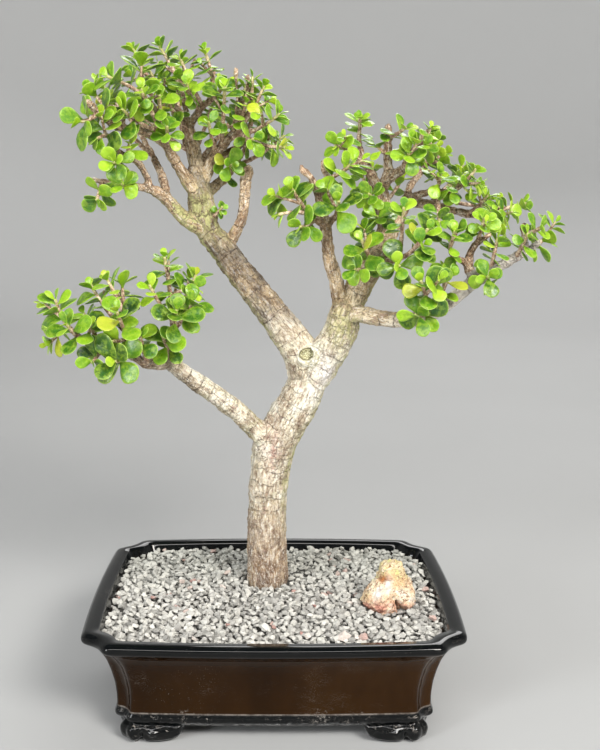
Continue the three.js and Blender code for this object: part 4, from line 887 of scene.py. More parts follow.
class Twig:
    """A twig's curve from its limb to its tip, with its side shoots and the leaves placed on them."""

    def __init__(self, name, side, row, heart, seed):
        self.name, self.heart, self.random = name, array(*heart), seeded_random(seed)
        limb, at, *tip, self.leaf_length, self.shoot_count = row
        route = LIMBS[side + limb]
        step = min(int(at), len(route) - 2)
        self.start = lerp(array(*route[step][:3]), array(*route[step + 1][:3]), at - step)
        self.end = array(*tip)
        self.length = np.linalg.norm(self.end - self.start)
        self.middle = lerp(self.start, self.end, 0.5)
        self.middle[2] -= TWIG_SAG * self.length
        self.foot, self.shoots, self.leaves = 0, [], []
        if at == len(route) - 1:
            self.middle = self.start + unit(self.start - array(*route[-2][:3])) * 0.4 * self.length
            return
        own = Rods()
        own.add_route(route)
        room = TWIG_BASE_RADIUS + FOOT_ROOM
        clear = [share for share in FOOT_SHARES if own.clearance([self.point(share)]) > room]
        self.foot = clear[0] if clear else FOOT_SHARES[-1]

    def point(self, share):
        rest = 1 - share
        return self.start * rest ** 2 + self.middle * 2 * rest * share + self.end * share ** 2

    def tangent(self, share):
        return unit((self.middle - self.start) * (1 - share) + (self.end - self.middle) * share)

    def add_rods(self, rods):
        first = self.foot + FIT / self.length
        shares = [first, (first + 1) / 2, 1]
        for a, b in zip(shares, shares[1:]):
            radii = [lerp(TWIG_BASE_RADIUS, TWIG_TIP_RADIUS, share) for share in (a, b)]
            rods.add(self.point(a), self.point(b), radii, self.name)

    def grow_shoots(self, rods):
        for k in range(1, self.shoot_count):
            share = lerp(self.foot, 1, 0.35 + 0.35 * k / self.shoot_count + 0.1 * self.random())
            tangent = self.tangent(share)
            turn = 2 * math.pi * self.random()
            lean = math.radians(42 + 22 * self.random())
            reach = self.leaf_length * (0.9 + 0.4 * self.random())
            start = self.point(share)
            for extra in SHOOT_TURNS:
                sideways = around(framed(tangent), turn + extra)
                axis = tangent * math.cos(lean) + sideways * math.sin(lean)
                axis[2] += SHOOT_LIFT
                axis = unit(axis)
                points = [start + axis * reach * part for part in (0.4, 0.7, 1)]
                if rods.clearance(points, self.name) > SHOOT_ROOM:
                    self.shoots.append((start, axis, reach))
                    break
        for start, axis, reach in self.shoots:
            rods.add(start, start + axis * reach, (TWIG_TIP_RADIUS, TWIG_TIP_RADIUS), self.name)

    def leaf_pairs(self, random, axis, base_at, pairs, size):
        """Leaves below a tip, each pair square to the one before."""
        sideways = framed(axis)
        start = 2 * math.pi * random()
        for pair in pairs:
            below, lean, share = LEAF_PAIRS[pair]
            base = base_at(below * size / LEAF_SCALE)
            turn = start + pair * math.pi / 2 + 0.35 * (random() - 0.5)
            for side in (0, math.pi):
                yield {
                    "base": base,
                    "wish": axis + OUTWARD_TURN * unit(base - self.heart),
                    "axis": axis,
                    "outwards": around(sideways, turn + side),
                    "lean": lean + 16 * (random() - 0.5),
                    "length": size * share * (0.86 + 0.28 * random()),
                    "twist": math.radians(40 * (random() - 0.5)),
                }

    def grow_leaves(self, random, twig_pairs, shoot_pairs, rods, canopy):
        def base_at(below):
            return self.point(1 - below / self.length)

        leaves = list(self.leaf_pairs(random, self.tangent(1), base_at, twig_pairs, self.leaf_length))
        for start, axis, reach in self.shoots:
            leaves += self.leaf_pairs(random, axis, lambda below: start + axis * (reach - below),
                                      shoot_pairs, 0.9 * self.leaf_length)
        for leaf in leaves:
            for bend in LEAF_BENDS:
                trial = posed(leaf, leaf["lean"] + bend)
                points = on_leaf(trial, *LEAF_PROBES.T)
                if rods.clearance(points, self.name) >= 2 * LEAF_GAP and not canopy.touches(points):
                    canopy.add(trial)
                    self.leaves.append(trial)
                    break


def posed(leaf, lean):
    """A leaf's own directions once it leans by the given angle from its shoot."""
    along = around((leaf["axis"], leaf["outwards"]), math.radians(lean))
    face = unit(leaf["wish"] - along * leaf["wish"].dot(along))
    face = around((face, np.cross(along, face)), leaf["twist"])
    return {**leaf, "along": along, "face": face, "across": np.cross(face, along)}


def on_leaf(leaf, x, y, above=0.0):
    """Places on a leaf, given along, across and above in shares of its length and width."""
    length = leaf["length"]
    droop = -LEAF_DROOP * np.maximum(x, 0) ** 2
    return (
        leaf["base"] + np.outer(x * length, leaf["along"])
        + np.outer(y * length * LEAF_WIDTH, leaf["across"])
        + np.outer((droop + above) * length, leaf["face"]))


class Canopy:
    """All placed leaves, so that the next one keeps clear of them."""

    def __init__(self):
        self.centres, self.frames, self.reaches = np.zeros((0, 3)), np.zeros((0, 3, 3)), np.zeros((0, 3))

    def touches(self, points):
        near = np.linalg.norm(self.centres - points[0], axis=1) < LEAF_NEIGHBOURS
        gap = points[:, None, :] - self.centres[near]
        scaled = np.einsum("nmk,mjk->nmj", gap, self.frames[near]) / self.reaches[near]
        return bool(((scaled ** 2).sum(2) < 1).any())

    def add(self, leaf):
        length = leaf["length"]
        reach = array(0.5 * length, 0.5 * length * LEAF_WIDTH, LEAF_THICKNESS * length) + LEAF_GAP
        directions = array(leaf["along"], leaf["across"], leaf["face"])
        self.centres = np.vstack([self.centres, on_leaf(leaf, 0.55, 0)])
        self.frames = np.concatenate([self.frames, directions[None]])
        self.reaches = np.vstack([self.reaches, reach])


def leaf_plan():
    """Places on a leaf in rings round its middle: along and across it, and how near its rim."""
    half = array(
        (0.0, 0.05), (0.06, 0.06), (0.16, 0.12), (0.3, 0.26), (0.46, 0.4), (0.62, 0.49), (0.76, 0.49),
        (0.88, 0.39), (0.96, 0.22), (1.0, 0.0))
    right, _ = evenly_spaced(half, LEAF_STEPS)
    rim = np.vstack([right, right[1:-1][::-1] * (1, -1), (0.0, -0.05)])
    middle = array(0.6, 0.0)
    shares = [math.sin(ring / LEAF_RINGS * math.pi / 2) for ring in range(1, LEAF_RINGS + 1)]
    plan = np.vstack([middle] + [middle + (rim - middle) * share for share in shares])
    return plan, np.concatenate([[0], np.repeat(shares, len(rim))]), len(rim)


LEAF_PLAN, LEAF_NEAR, LEAF_SIDES = leaf_plan()
LEAF_INNER = 1 + (LEAF_RINGS - 1) * LEAF_SIDES


def leaf_faces():
    """Faces on top of a leaf and under it, joined at its rim."""
    faces = []
    for k in range(LEAF_SIDES):
        first, second = 1 + k, 1 + (k + 1) % LEAF_SIDES
        cells = [(0, first, second)]
        for start in range(0, LEAF_INNER - 1, LEAF_SIDES):
            a, b = start + first, start + second
            cells.append((a, a + LEAF_SIDES, b + LEAF_SIDES, b))
        for cell in cells:
            under = [i + len(LEAF_PLAN) if i < LEAF_INNER else i for i in cell]
            faces += [cell, (under[0], *under[:0:-1])]
    return faces


LEAF_FACES = leaf_faces()


def add_leaf(batch, leaf, random, heart):
    """A thick leaf with a rounded rim, cupped and bent in its own way; inner leaves are darkened as painted
    shade.
    """
    x, y = LEAF_PLAN.T
    arch = np.sin(np.clip(x, 0, 1) * math.pi)
    wide = y * (0.8 + 0.26 * random())
    cup = 0.1 + 0.16 * random()
    bend = -0.05 - 0.12 * random()
    curl = 0.12 * (random() - 0.5)
    sheet = cup * y ** 2 + bend * x ** 2 + curl * y * x - 0.02 * hump(y, 0, 0.09) * arch
    swell = np.sqrt(np.clip(1 - LEAF_NEAR ** 2.4, 0, 1))
    swell *= 0.45 + 0.55 * np.sin(np.clip(x * 1.15, 0, 1) * math.pi)
    thick = 0.055 + 0.02 * random()
    top = on_leaf(leaf, LEAF_STRETCH * x, wide, sheet + thick * swell)
    under = on_leaf(leaf, LEAF_STRETCH * x, wide, sheet - 0.8 * thick * swell)[:LEAF_INNER]
    rim = np.concatenate([LEAF_NEAR, LEAF_NEAR[:LEAF_INNER]])
    tone = np.clip(1.0 - 0.045 * (leaf["length"] - 5), 0.2, 0.8) + 0.62 * (random() - 0.5)
    # Painted shade: leaves near the heart of their crown are darkened.
    tone -= 0.3 * np.clip((OUTER_LEAVES - np.linalg.norm(leaf["base"] - heart)) / 45, 0, 1)
    gold = 0.75 if random() > GOLDEN_ABOVE else 0.0
    batch.add(np.vstack([top, under]), LEAF_FACES, 1, rim=rim, tone=tone, gold=gold)


def add_stem(batch, length, least_steps, point_at, radii, pitch):
    """A stem with swollen rings where leaves have stood."""
    shares = np.linspace(0, 1, max(least_steps, int(length / STEM_STEP)))
    line = np.array([point_at(share) for share in shares])
    knots = 1 + 0.16 * np.cos(running_length(line) / pitch * 2 * math.pi) ** 8
    points, faces = tube(line, lerp(*radii, shares) * knots, STEM_SIDES)
    near_tip = np.repeat(np.linspace(0, 1, len(points) // STEM_SIDES), STEM_SIDES)
    batch.add(points, faces, 0, rim=near_tip, tone=0.5, gold=0.0)


def make_twigs(kind, table, seed):
    twigs = []
    for place, (region, rows) in enumerate(table.items()):
        side, heart = REGIONS[region]
        for i, row in enumerate(rows):
            twigs.append(Twig(f"{kind}_{region}_{i + 1:02d}", side, row, heart, seed + 100 * place + i))
    return twigs


def grow_sprays():
    """All twigs and shoots, those of the fillers last, and then all leaves, as the solids grow."""
    rods, canopy = Rods(), Canopy()
    for route in LIMBS.values():
        rods.add_route(route)
    sprays = make_twigs("spray", SPRAYS, SPRAY_SEED)
    fillers = make_twigs("filler", EXTRA_SPRAYS, 2 * SPRAY_SEED)
    for twig in sprays:
        twig.add_rods(rods)
    for twig in sprays:
        twig.grow_shoots(rods)
    for twig in fillers:
        twig.add_rods(rods)
        twig.grow_shoots(rods)
    twigs = sprays + fillers
    for twig in twigs:
        twig.grow_leaves(twig.random, *PAIRS_SHARED, rods, canopy)
    for i, twig in enumerate(twigs):
        twig.grow_leaves(seeded_random(3 * SPRAY_SEED + i), *PAIRS_ADDED, rods, canopy)
    return twigs


def build_sprays():
    """Each leafy spray is one piece; a filler replaces no solid."""
    looks = [twig_material(), leaf_material()]
    for i, twig in enumerate(grow_sprays()):
        batch, random = Batch(), seeded_random(4 * SPRAY_SEED + i)
        radii = (TWIG_BASE_RADIUS, TWIG_TIP_RADIUS)
        add_stem(batch, twig.length, 10, twig.point, radii, TWIG_KNOT_PITCH)
        for start, axis, reach in twig.shoots:
            radii = (TWIG_TIP_RADIUS, 0.8 * TWIG_TIP_RADIUS)
            add_stem(batch, reach, 8, lambda share: start + axis * reach * share, radii, SHOOT_KNOT_PITCH)
        for leaf in twig.leaves:
            add_leaf(batch, leaf, random, twig.heart)
        piece = batch.piece(f"leafy_{twig.name}", looks)
        settle(piece, twig.name if twig.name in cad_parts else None)


# Wood

def root_route(i):
    """A root that runs out through the soil."""
    angle = math.radians(20 + 360 / ROOTS * i)
    x, y = LIMBS["trunk"][0][:2]
    out_x, out_y = math.cos(angle) * ROOT_REACH[0], math.sin(angle) * ROOT_REACH[1]
    return [(x + out_x * share, y + out_y * share, height, radius) for share, height, radius in ROOT_ROWS]


def wood_tubes(bark):
    batch = Batch()
    for route in LIMBS.values():
        line = spline(route, 6)
        thin = np.clip((8.5 - line[:, 3]) / 4, 0, 1)
        run = running_length(line[:, :3])
        line[:, 3] *= 1 + thin * 0.1 * np.cos(run / 7.5 * 2 * math.pi) ** 6
        batch.add(*tube(line[:, :3], line[:, 3], LIMB_SIDES))
    for route in DRY_STALKS + [root_route(i) for i in range(ROOTS)]:
        line = spline(route, 6)
        batch.add(*tube(line[:, :3], line[:, 3], STALK_SIDES))
    return batch.piece("wood", [bark])


def wood_skin(rough):
    """The tubes melted into one smooth skin: its points, normals and faces."""
    remesh = rough.modifiers.new("skin", "REMESH")
    remesh.mode = "VOXEL"
    remesh.voxel_size = WOOD_VOXEL * MM
    relax = rough.modifiers.new("relax", "SMOOTH")
    relax.factor, relax.iterations = WOOD_RELAX
    whole = rough.evaluated_get(bpy.context.evaluated_depsgraph_get())
    shape = bpy.data.meshes.new_from_object(whole, preserve_all_data_layers=False)
    bpy.data.objects.remove(rough)
    places, normals = np.zeros((2, 3 * len(shape.vertices)))
    shape.vertices.foreach_get("co", places)
    shape.vertices.foreach_get("normal", normals)
    faces = [tuple(polygon.vertices) for polygon in shape.polygons]
    bpy.data.meshes.remove(shape)
    return (places.reshape(-1, 3) - POT_CENTRE) / MM, normals.reshape(-1, 3), faces


def nearest_on_limbs(points):
    """For each point: its place across and along its nearest limb, and how thick that limb is."""
    best = np.full(len(points), 1e9)
    found = {key: np.zeros(len(points)) for key in ("side", "depth", "along", "size")}
    for index, route in enumerate(LIMBS.values()):
        line = spline(route, 3)
        run = running_length(line[:, :3])
        for a, b, start, end in zip(line, line[1:], run, run[1:]):
            span = b[:3] - a[:3]
            share = np.clip((points - a[:3]) @ span / (span @ span), 0, 1)
            radius = lerp(a[3], b[3], share)
            out = points - a[:3] - np.outer(share, span)
            gap = np.linalg.norm(out, axis=1) - radius
            side = unit(np.cross(span, (0, 1, 0)))
            fresh = {"side": out @ side, "depth": out @ unit(np.cross(span, side)),
                     "along": lerp(start, end, share) + LIMB_SHIFT * index, "size": radius}
            nearer = gap < best
            best[nearer] = gap[nearer]
            for key, values in fresh.items():
                found[key][nearer] = values[nearer]
    return found


def within(points, oval):
    """How far out of an upright oval each point is: 1 on its edge."""
    x, z, half_x, half_z = oval
    return np.hypot((points[:, 0] - x) / half_x, (points[:, 2] - z) / half_z)


def bark_relief(points, size):
    """How far the bark stands out: long low ridges on thick wood, small knobs on thin."""
    ridges = noise_at(points * (1, 1, 0.35), 6, 1) * 0.75
    knobs = noise_at(points, 3.0, 2, 2) * 0.8
    lumps = noise_at(points, 24, 3, 2) * 1.2
    thick = smoothstep(size, 3, 12)
    swollen = 0.8 * noise_at(points, 5.5, 4, 2) * (1 - thick)
    rounded_in = -1.8 * smoothstep(-points[:, 2], -93, -84)
    return (ridges + lumps) * thick + knobs * (0.45 + 0.55 * thick) + swollen + rounded_in


def bark_fields(points, normals, size):
    """Where the bark is low, blushed, pale, silvery or grown over by lichen, and where painted shade darkens
    the wood above the fork and the left limb, from 0 to 1.
    """
    x, y, z = points.T
    above_fork = smoothstep(z, 285, 305)
    sunlit = smoothstep(normals[:, 0], 0.5, 0.95) + 0.5 * smoothstep(-normals[:, 2], 0.3, 0.8)
    sunlit *= 1 - above_fork * (x < 30)
    bulge = hump(z, 408, 18) * (np.abs(x + 58) < 24)
    below = smoothstep(normals @ unit(array(-0.75, 0, -0.66)), 0.55, 0.95)
    below *= above_fork * smoothstep(-x, -20, 0)
    lichen = 0.9 * sunlit * smoothstep(size, 5, 11) * smoothstep(z, 120, 200)
    lichen += 1.1 * bulge + 0.9 * patch(points, *FORK) + 0.9 * below
    silver = smoothstep(x, 104, 132) * (z < 338 + 0.62 * (x - 112))
    return {
        "lichen": np.clip(lichen, 0, 1), "base": smoothstep(-z, -190, -112),
        "blush": patch(points, *BLUSH), "pale": patch(points, *PALE_PATCH), "silver": silver,
        # Painted shade over the wood above the fork.
        "upper": smoothstep(z, 300, 345) * (1 - silver),
        # Painted shade over the thick left limb above the fork.
        "dusky": smoothstep(z, 300, 332) * smoothstep(-x, -32, -8) * smoothstep(size, 5, 9)}


def build_wood():
    bark = bark_material()
    points, normals, faces = wood_skin(wood_tubes(bark))
    on_limb = nearest_on_limbs(points)
    size = on_limb["size"]
    facing = np.clip(-normals[:, 1] * 1.6, 0, 1) * (np.abs(points[:, 1] - SCAR_DEPTH) < 14)
    rim = np.where(facing > 0.3, within(points, SCAR_LIP), FAR_FROM_SCAR)
    heart = np.where(facing > 0.3, within(points, SCAR_HEART), FAR_FROM_SCAR)
    relief = bark_relief(points, size) * (1 - 0.8 * facing * smoothstep(-rim, -1.3, -1))
    lip = smoothstep(-rim, -1.15, -0.8) * smoothstep(heart, 0.75, 1.25)
    relief += facing * (3.4 * lip - 0.9 * smoothstep(-heart, -1.1, -0.8))
    points += normals * relief[:, None]
    values = {**on_limb, **bark_fields(points, normals, size), "scar_rim": rim, "scar_heart": heart}
    settle(make_piece("wood", points, faces, [bark], values), "tree_wood")


# Pot

def pot_loop(height, inset, cut_less):
    """The pot's outline at a height, softened, counter-clockwise."""
    share = (height - BODY_UNDERSIDE) / (RIM_TOP - BODY_UNDERSIDE)
    cut = lerp(*CORNER_CUTS, share) - cut_less
    bow_x, bow_y = (lerp(base, rim, share) for base, rim in zip(BASE_BOW, RIM_BOW))
    half_x, half_y = RIM_HALF[0] - inset, RIM_HALF[1] - DEPTH_SHARE * inset
    quarter = []
    for t in np.linspace(0, 1, SIDE_STEPS + 1)[:-1]:
        quarter.append((half_x + bow_x * (1 - t * t), (half_y - cut) * t))
    for t in np.linspace(0, 1, CORNER_STEPS):
        pull = CORNER_COVE * math.sqrt(2) * math.sin(math.pi * t)
        quarter.append((half_x - cut * t - pull, half_y - cut + cut * t - pull))
    for t in np.linspace(1, 0, FRONT_STEPS + 1)[1:]:
        quarter.append(((half_x - cut) * t, half_y + bow_y * (1 - t * t)))
    half_loop = np.vstack([quarter, np.array(quarter[:-1][::-1]) * (-1, 1)])
    loop = np.vstack([half_loop, -half_loop[1:-1]])
    for _ in range(3):
        loop = 0.25 * np.roll(loop, 1, axis=0) + 0.5 * loop + 0.25 * np.roll(loop, -1, axis=0)
    return np.column_stack([loop, np.full(len(loop), height)])


def fine_profile(rows, step):
    """Rows of a profile made finer and slightly rounded."""
    rows = np.array(rows, float)
    fine, _ = evenly_spaced(rows, int(running_length(rows)[-1] / step))
    return relaxed(fine, 2)


def drain_ring(x, height):
    angles = turns(DRAIN_SIDES)
    across, deep = DRAIN_RADIUS * np.cos(angles), DRAIN_RADIUS * np.sin(angles)
    return np.column_stack([x + across, deep, np.full(DRAIN_SIDES, height)])


def add_floor(batch, loop, upward):
    """The pot's floor as a sheet with its two drain holes cut out."""
    builder, edges = bmesh.new(), []
    for ring in [loop] + [drain_ring(x, loop[0, 2]) for x in DRAIN_PLACES]:
        corners = [builder.verts.new(point) for point in ring]
        edges += [builder.edges.new(pair) for pair in zip(corners, corners[1:] + corners[:1])]
    bmesh.ops.triangle_fill(builder, use_beauty=True, use_dissolve=False, edges=edges)
    points, faces = taken(builder)
    for face in faces:
        a, b, c = points[face, :2]
        if (np.linalg.det([b - a, c - a]) > 0) != upward:
            face.reverse()
    batch.add(points, faces)


def foot_path():
    """The foot's outer line in plan, and how far each point is from its corner."""
    (x, y), length, cut = FOOT_HALF, FOOT_LENGTH, FOOT_CUT
    corners = array((x, y - length), (x, y - cut), (x - cut, y), (x - length, y))
    line, places = evenly_spaced(corners, FOOT_STEPS)
    return relaxed(line, 8), np.abs(places - places[-1] / 2) + 3


def add_foot(batch, sign_x, sign_y):
    """A cloud-shaped corner foot: round lobes at the corner and a tail that lifts to each end."""
    line, away = foot_path()
    tangent = np.gradient(line, axis=0)
    tangent /= np.linalg.norm(tangent, axis=1)[:, None]
    outward = np.column_stack([tangent[:, 1], -tangent[:, 0]])
    outward *= np.sign((outward * line).sum(1))[:, None]
    tail = np.clip((away - 30) / 22, 0, 1)
    lift = 14.5 * (1 - np.sqrt(1 - tail ** 2)) + 2.2 * hump(away, 18, 3.4)
    ends = smoothstep(away, 46, 52)
    lobes = 2.4 * hump(away, 8, 6) + 2.2 * hump(away, 28, 7)
    inner = line - outward * FOOT_THICKNESS
    loop = [np.column_stack([inner, np.full(FOOT_STEPS, FOOT_TOP)])]
    for turn in np.arange(FOOT_ROWS) / (FOOT_ROWS - 1):
        belly = math.sin(math.pi * min(1, 0.12 + turn)) ** 0.8
        groove = 2.6 * hump(away, 17.5, 2) * smoothstep(turn, 0.25, 0.6)
        scroll = 1.1 * hump(away, 27, 3.4) * hump(turn, 0.42, 0.12)
        scroll -= 0.9 * hump(away, 34, 8) * hump(turn, 0.3, 0.08)
        neck = 3.6 * hump(turn, 0.0, 0.2)
        under = 4.4 * smoothstep(turn, 0.74, 1.0)
        out = -1.6 + lobes * belly - groove + scroll - neck - under - 5 * ends * (0.4 + turn)
        outer = line + outward * np.minimum(out, 1.4)[:, None]
        loop.append(np.column_stack([outer, lerp(FOOT_TOP, lift, turn)]))
    loop.append(np.column_stack([inner, lift]))
    starts = [row * FOOT_STEPS for row in range(len(loop))]
    faces = []
    for r, s in zip(starts, starts[1:] + starts[:1]):
        faces += [(r + k, s + k, s + k + 1, r + k + 1) for k in range(FOOT_STEPS - 1)]
    faces += [tuple(starts)[::-1], tuple(start + FOOT_STEPS - 1 for start in starts)]
    if sign_x * sign_y < 0:
        faces = [face[::-1] for face in faces]
    batch.add(np.vstack(loop) * (sign_x, sign_y, 1), faces)


def build_pot():
    batch = Batch()
    loops = [pot_loop(*row, 0) for row in fine_profile(POT_OUTSIDE, 1.3)]
    loops += [pot_loop(*row, INSIDE_CUT_LESS) for row in fine_profile(POT_INSIDE, 2.2)]
    batch.add(np.vstack(loops), skin_faces(len(loops), len(loops[0])))
    add_floor(batch, loops[0], False)
    add_floor(batch, loops[-1], True)
    for x in DRAIN_PLACES:
        rings = [drain_ring(x, height) for height in (BODY_UNDERSIDE, FLOOR_TOP)]
        batch.add(np.vstack(rings), [face[::-1] for face in skin_faces(2, DRAIN_SIDES)])
    for sign_x in (-1, 1):
        for sign_y in (-1, 1):
            add_foot(batch, sign_x, sign_y)
    settle(batch.piece("glazed_pot", [glaze_material()]), "pot")


# Gravel and rock

def gravel_top(x, y):
    fall = (x / RIM_HALF[0]) ** 2 + (y / RIM_HALF[1]) ** 2
    return GRAVEL_LEVEL + GRAVEL_MOUND * (1 - fall)


def inside_pot(x, y, margin):
    """True for places within the pot's inner wall at the gravel's level."""
    inset = 15.0 + margin
    half_x = RIM_HALF[0] - inset + RIM_BOW[0] * (1 - (y / RIM_HALF[1]) ** 2)
    half_y = RIM_HALF[1] - DEPTH_SHARE * inset + RIM_BOW[1] * (1 - (x / RIM_HALF[0]) ** 2)
    return abs(x) < half_x and abs(y) < half_y and abs(x) + abs(y) < half_x + half_y - CORNER_CUTS[1] - 2


def stone_shape(random):
    """An angular stone, the hull of a few random points, about one unit across."""
    builder = bmesh.new()
    for _ in range(STONE_POINTS):
        direction = unit(array(*(random() - 0.5 for _ in range(3))) + 1e-6)
        builder.verts.new(direction * (0.42 + 0.12 * random()) * (1, 0.76, 0.6))
    bmesh.ops.convex_hull(builder, input=builder.verts)
    loose = [v for v in builder.verts if not v.link_faces]
    bmesh.ops.delete(builder, geom=loose, context="VERTS")
    return taken(builder)


def turned(random):
    """A random turn that keeps a stone mostly flat side down."""
    spin, tip, roll = 2 * math.pi * random(), 1.1 * (random() - 0.5), 1.1 * (random() - 0.5)
    a, b, c = (math.cos(v) for v in (spin, tip, roll))
    d, e, f = (math.sin(v) for v in (spin, tip, roll))
    about_z = array((a, -d, 0), (d, a, 0), (0, 0, 1))
    about_x = array((1, 0, 0), (0, b, -e), (0, e, b))
    about_y = array((c, 0, f), (0, 1, 0), (-f, 0, c))
    return about_z @ about_x @ about_y


def build_gravel():
    random = seeded_random(GRAVEL_SEED)
    shapes = [stone_shape(random) for _ in range(STONE_SHAPES)]
    batch = Batch()
    trunk_x, trunk_y = LIMBS["trunk"][2][:2]
    rock_x, rock_y = ROCK_CENTRE[:2]
    for layer, (pitch, height) in enumerate(STONE_LAYERS):
        columns, rows = (int(span / pitch) for span in GRAVEL_SPAN)
        for j in range(-rows // 2, rows // 2 + 1):
            for i in range(-columns // 2, columns // 2 + 1):
                x = (i + 0.5 * (j % 2) + 0.7 * (random() - 0.5)) * pitch
                y = (j + 0.7 * (random() - 0.5)) * pitch
                size = 5.1 + 4.4 * random() ** 1.8
                pick, tone = random(), random()
                left_out = layer == 2 and random() < TOP_LEFT_OUT
                from_trunk = math.hypot(x - trunk_x, y - trunk_y)
                from_rock = math.hypot((x - rock_x) / ROCK_HALF[0], (y - rock_y + 5) / ROCK_HALF[1])
                if left_out or from_trunk < TRUNK_ROOM + 0.2 * size or (layer and from_rock < 1.02):
                    continue
                if not inside_pot(x, y, 0.35 * size):
                    continue
                dip = 5 * hump(x, 24, 12) * hump(y, 44, 14) + 1.2 * hump(from_trunk, 22, 4)
                level = gravel_top(x, y) + height + 1.6 * (random() - 0.5) - dip
                points, faces = shapes[int(pick * len(shapes))]
                placed = points @ turned(random).T * size + (x, y, level)
                # The bottom layer's stones are darkened as painted shade from the stones above.
                batch.add(placed, faces, tone=tone if layer else 0.3 * tone)
    points, faces = shapes[0]
    x, y, size = BIG_STONE
    batch.add(points * size + (x, y, gravel_top(x, y) + 2), faces, tone=BIG_STONE_TONE)
    settle(batch.piece("gravel_stones", [gravel_material()], smooth=False), "gravel")


def build_bed():
    """The shaded layer that shows between the stones."""
    index, points = {}, []
    half_x, half_y = BED_HALF
    for j, y in enumerate(np.arange(-half_y, half_y + 0.1, BED_SPACING)):
        for i, x in enumerate(np.arange(-half_x, half_x + 0.1, BED_SPACING)):
            if inside_pot(x, y, -1.2):
                index[i, j] = len(points)
                points.append((x, y, gravel_top(x, y) - BED_DEPTH))
    points = np.array(points)
    points[:, 2] += 0.9 * noise_at(points, 6, 5, 2)
    cells = [((i, j), (i + 1, j), (i + 1, j + 1), (i, j + 1)) for i, j in index]
    faces = [[index[corner] for corner in cell] for cell in cells if all(corner in index for corner in cell)]
    piece = make_piece("gravel_bed", points, faces, [bed_material()], {})
    solid = piece.modifiers.new("depth", "SOLIDIFY")
    solid.thickness = 4 * MM
    solid.offset = -1
    settle(piece)


def build_rock():
    builder = bmesh.new()
    bmesh.ops.create_icosphere(builder, subdivisions=6, radius=1)
    ball, faces = taken(builder)
    x, y, z = ball.T
    front = np.clip(-y, 0, 1)
    outline = np.interp(np.degrees(np.arctan2(z, x)) % 360, *np.array(ROCK_OUTLINE).T)
    shape = lerp(0.82, outline, (1 - y ** 2) ** 0.6)
    notch = hump(x, 0.38 - 0.35 * (z + 0.5), 0.06) * smoothstep(-z, 0.36, 0.6) * front ** 0.5
    crease = hump(z, 0.5 - 0.25 * (x + 0.1), 0.06) * hump(x, -0.15, 0.3) * front
    belly = hump(x, -0.25, 0.42) * hump(z, -0.45, 0.42) * front
    lumps, facets = noise_at(ball, 0.62, 7, 3), np.abs(noise_at(ball, 0.3, 8, 2))
    reach = shape * (1 + 0.06 * lumps - 0.16 * facets - 0.34 * notch - 0.24 * crease + 0.26 * belly)
    out_x, out_y, out_z = (ball * reach[:, None] * ROCK_HALF).T
    cos, sin = math.cos(ROCK_TILT), math.sin(ROCK_TILT)
    points = np.column_stack([out_x, out_y * cos + out_z * sin, out_z * cos - out_y * sin]) + ROCK_CENTRE
    points += ball * (0.8 * noise_at(points, 3.4, 9, 3) + 0.4 * noise_at(points, 1.3, 10, 2))[:, None]
    points[:, 2] = np.maximum(points[:, 2], ROCK_SUNK_TO)
    # Painted shade in the notch, the crease and the grooves between facets.
    hollow = 1.6 * notch + 0.5 * crease + 0.5 * smoothstep(facets, 0.45, 0.8) - 0.15
    gold = smoothstep(z, 0.35, 0.7) + 0.7 * hump(x, 0.5, 0.3) * smoothstep(z, -0.1, 0.3)
    gold += 0.8 * hump(x, -0.8, 0.2) * hump(z, -0.2, 0.2)
    rust = np.maximum(1.4 * hump(z, 0.48 - 0.25 * (x + 0.1), 0.12) * hump(x, -0.2, 0.34),
                      0.7 * hump(x, -0.72, 0.12) * hump(z, -0.28, 0.14) * front)
    red = smoothstep(-z, 0.26, 0.56) * (0.6 + 0.6 * smoothstep(-x, -0.1, 0.5))
    # Where the painted highlight lies: two patches on the front.
    white = hump(x, -0.45, 0.2) * hump(z, -0.12, 0.2)
    white = np.maximum(white, hump(x, 0.0, 0.14) * hump(z, 0.22, 0.26)) * front
    values = {"hollow": hollow, "gold": gold, "red": red, "rust": rust, "white": white}
    values = {key: np.clip(field, 0, 1) for key, field in values.items()}
    settle(make_piece("ochre_rock", points, faces, [rock_material()], values), "accent_rock")


# Stage

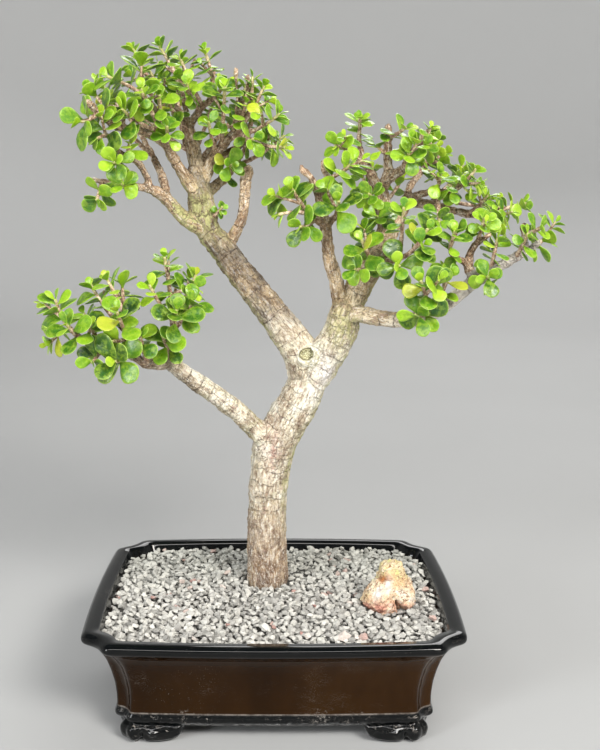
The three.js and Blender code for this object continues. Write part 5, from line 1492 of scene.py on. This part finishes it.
def add_light(name, place, size, power, colour):
    lamp = bpy.data.lights.new(name, "AREA")
    lamp.shape = "RECTANGLE"
    lamp.size, lamp.size_y = size
    lamp.energy = power
    lamp.color = colour
    thing = add_object(name, lamp)
    thing.location = place
    thing.rotation_euler = (Vector(LIGHT_AIM) - Vector(place)).to_track_quat("-Z", "Y").to_euler()


def build_floor():
    """A pale floor that turns up into a round wall."""
    profile = [(0.8, 0.0), (BOWL_RADIUS, 0.0)]
    for angle in np.linspace(0, math.pi / 2, 13)[1:]:
        profile.append((BOWL_RADIUS + BOWL_TURN * math.sin(angle), BOWL_TURN * (1 - math.cos(angle))))
    profile.append((BOWL_RADIUS + BOWL_TURN, BOWL_TOP))
    points = [(0.0, 0.0, 0.0)]
    for radius, height in profile:
        points += [(radius * math.cos(turn), radius * math.sin(turn), height) for turn in turns(BOWL_SIDES)]
    faces = [(0, 1 + k, 1 + (k + 1) % BOWL_SIDES) for k in range(BOWL_SIDES)]
    faces += [tuple(1 + i for i in face)[::-1] for face in skin_faces(len(profile), BOWL_SIDES)]
    add_mesh("floor", points, faces, [floor_material()])


def build_stage():
    build_floor()
    world = bpy.data.worlds.new("studio")
    world.use_nodes = True
    sky = world.node_tree.nodes["Background"].inputs
    sky["Color"].default_value = SKY_COLOUR
    sky["Strength"].default_value = SKY_STRENGTH
    bpy.context.scene.world = world
    for name, row in LIGHTS.items():
        add_light(name, *row)
    bpy.context.scene.view_settings.view_transform = "Standard"


def build_camera():
    data = bpy.data.cameras.new("camera")
    data.sensor_fit = "VERTICAL"
    data.sensor_height = 36
    data.lens = CAMERA_FOCUS_PX / PICTURE[1] * data.sensor_height
    data.shift_x = (PICTURE[0] / 2 - AXIS_PX) / PICTURE[1]
    camera = add_object("camera", data)
    camera.location = array(*CAMERA_PLACE) * MM + POT_CENTRE
    camera.rotation_euler = (math.radians(90 - CAMERA_PITCH), 0, 0)
    bpy.context.scene.camera = camera


def dress(node, material):
    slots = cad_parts[node].data.materials
    if slots:
        slots[0] = material
    else:
        slots.append(material)


build_pot()
build_gravel()
build_bed()
build_rock()
build_wood()
build_sprays()
dress("soil", soil_material())
net = net_material()
for side in ("left", "right"):
    dress(f"drain_screen_{side}", net)
build_stage()
build_camera()

bpy.context.view_layer.update()
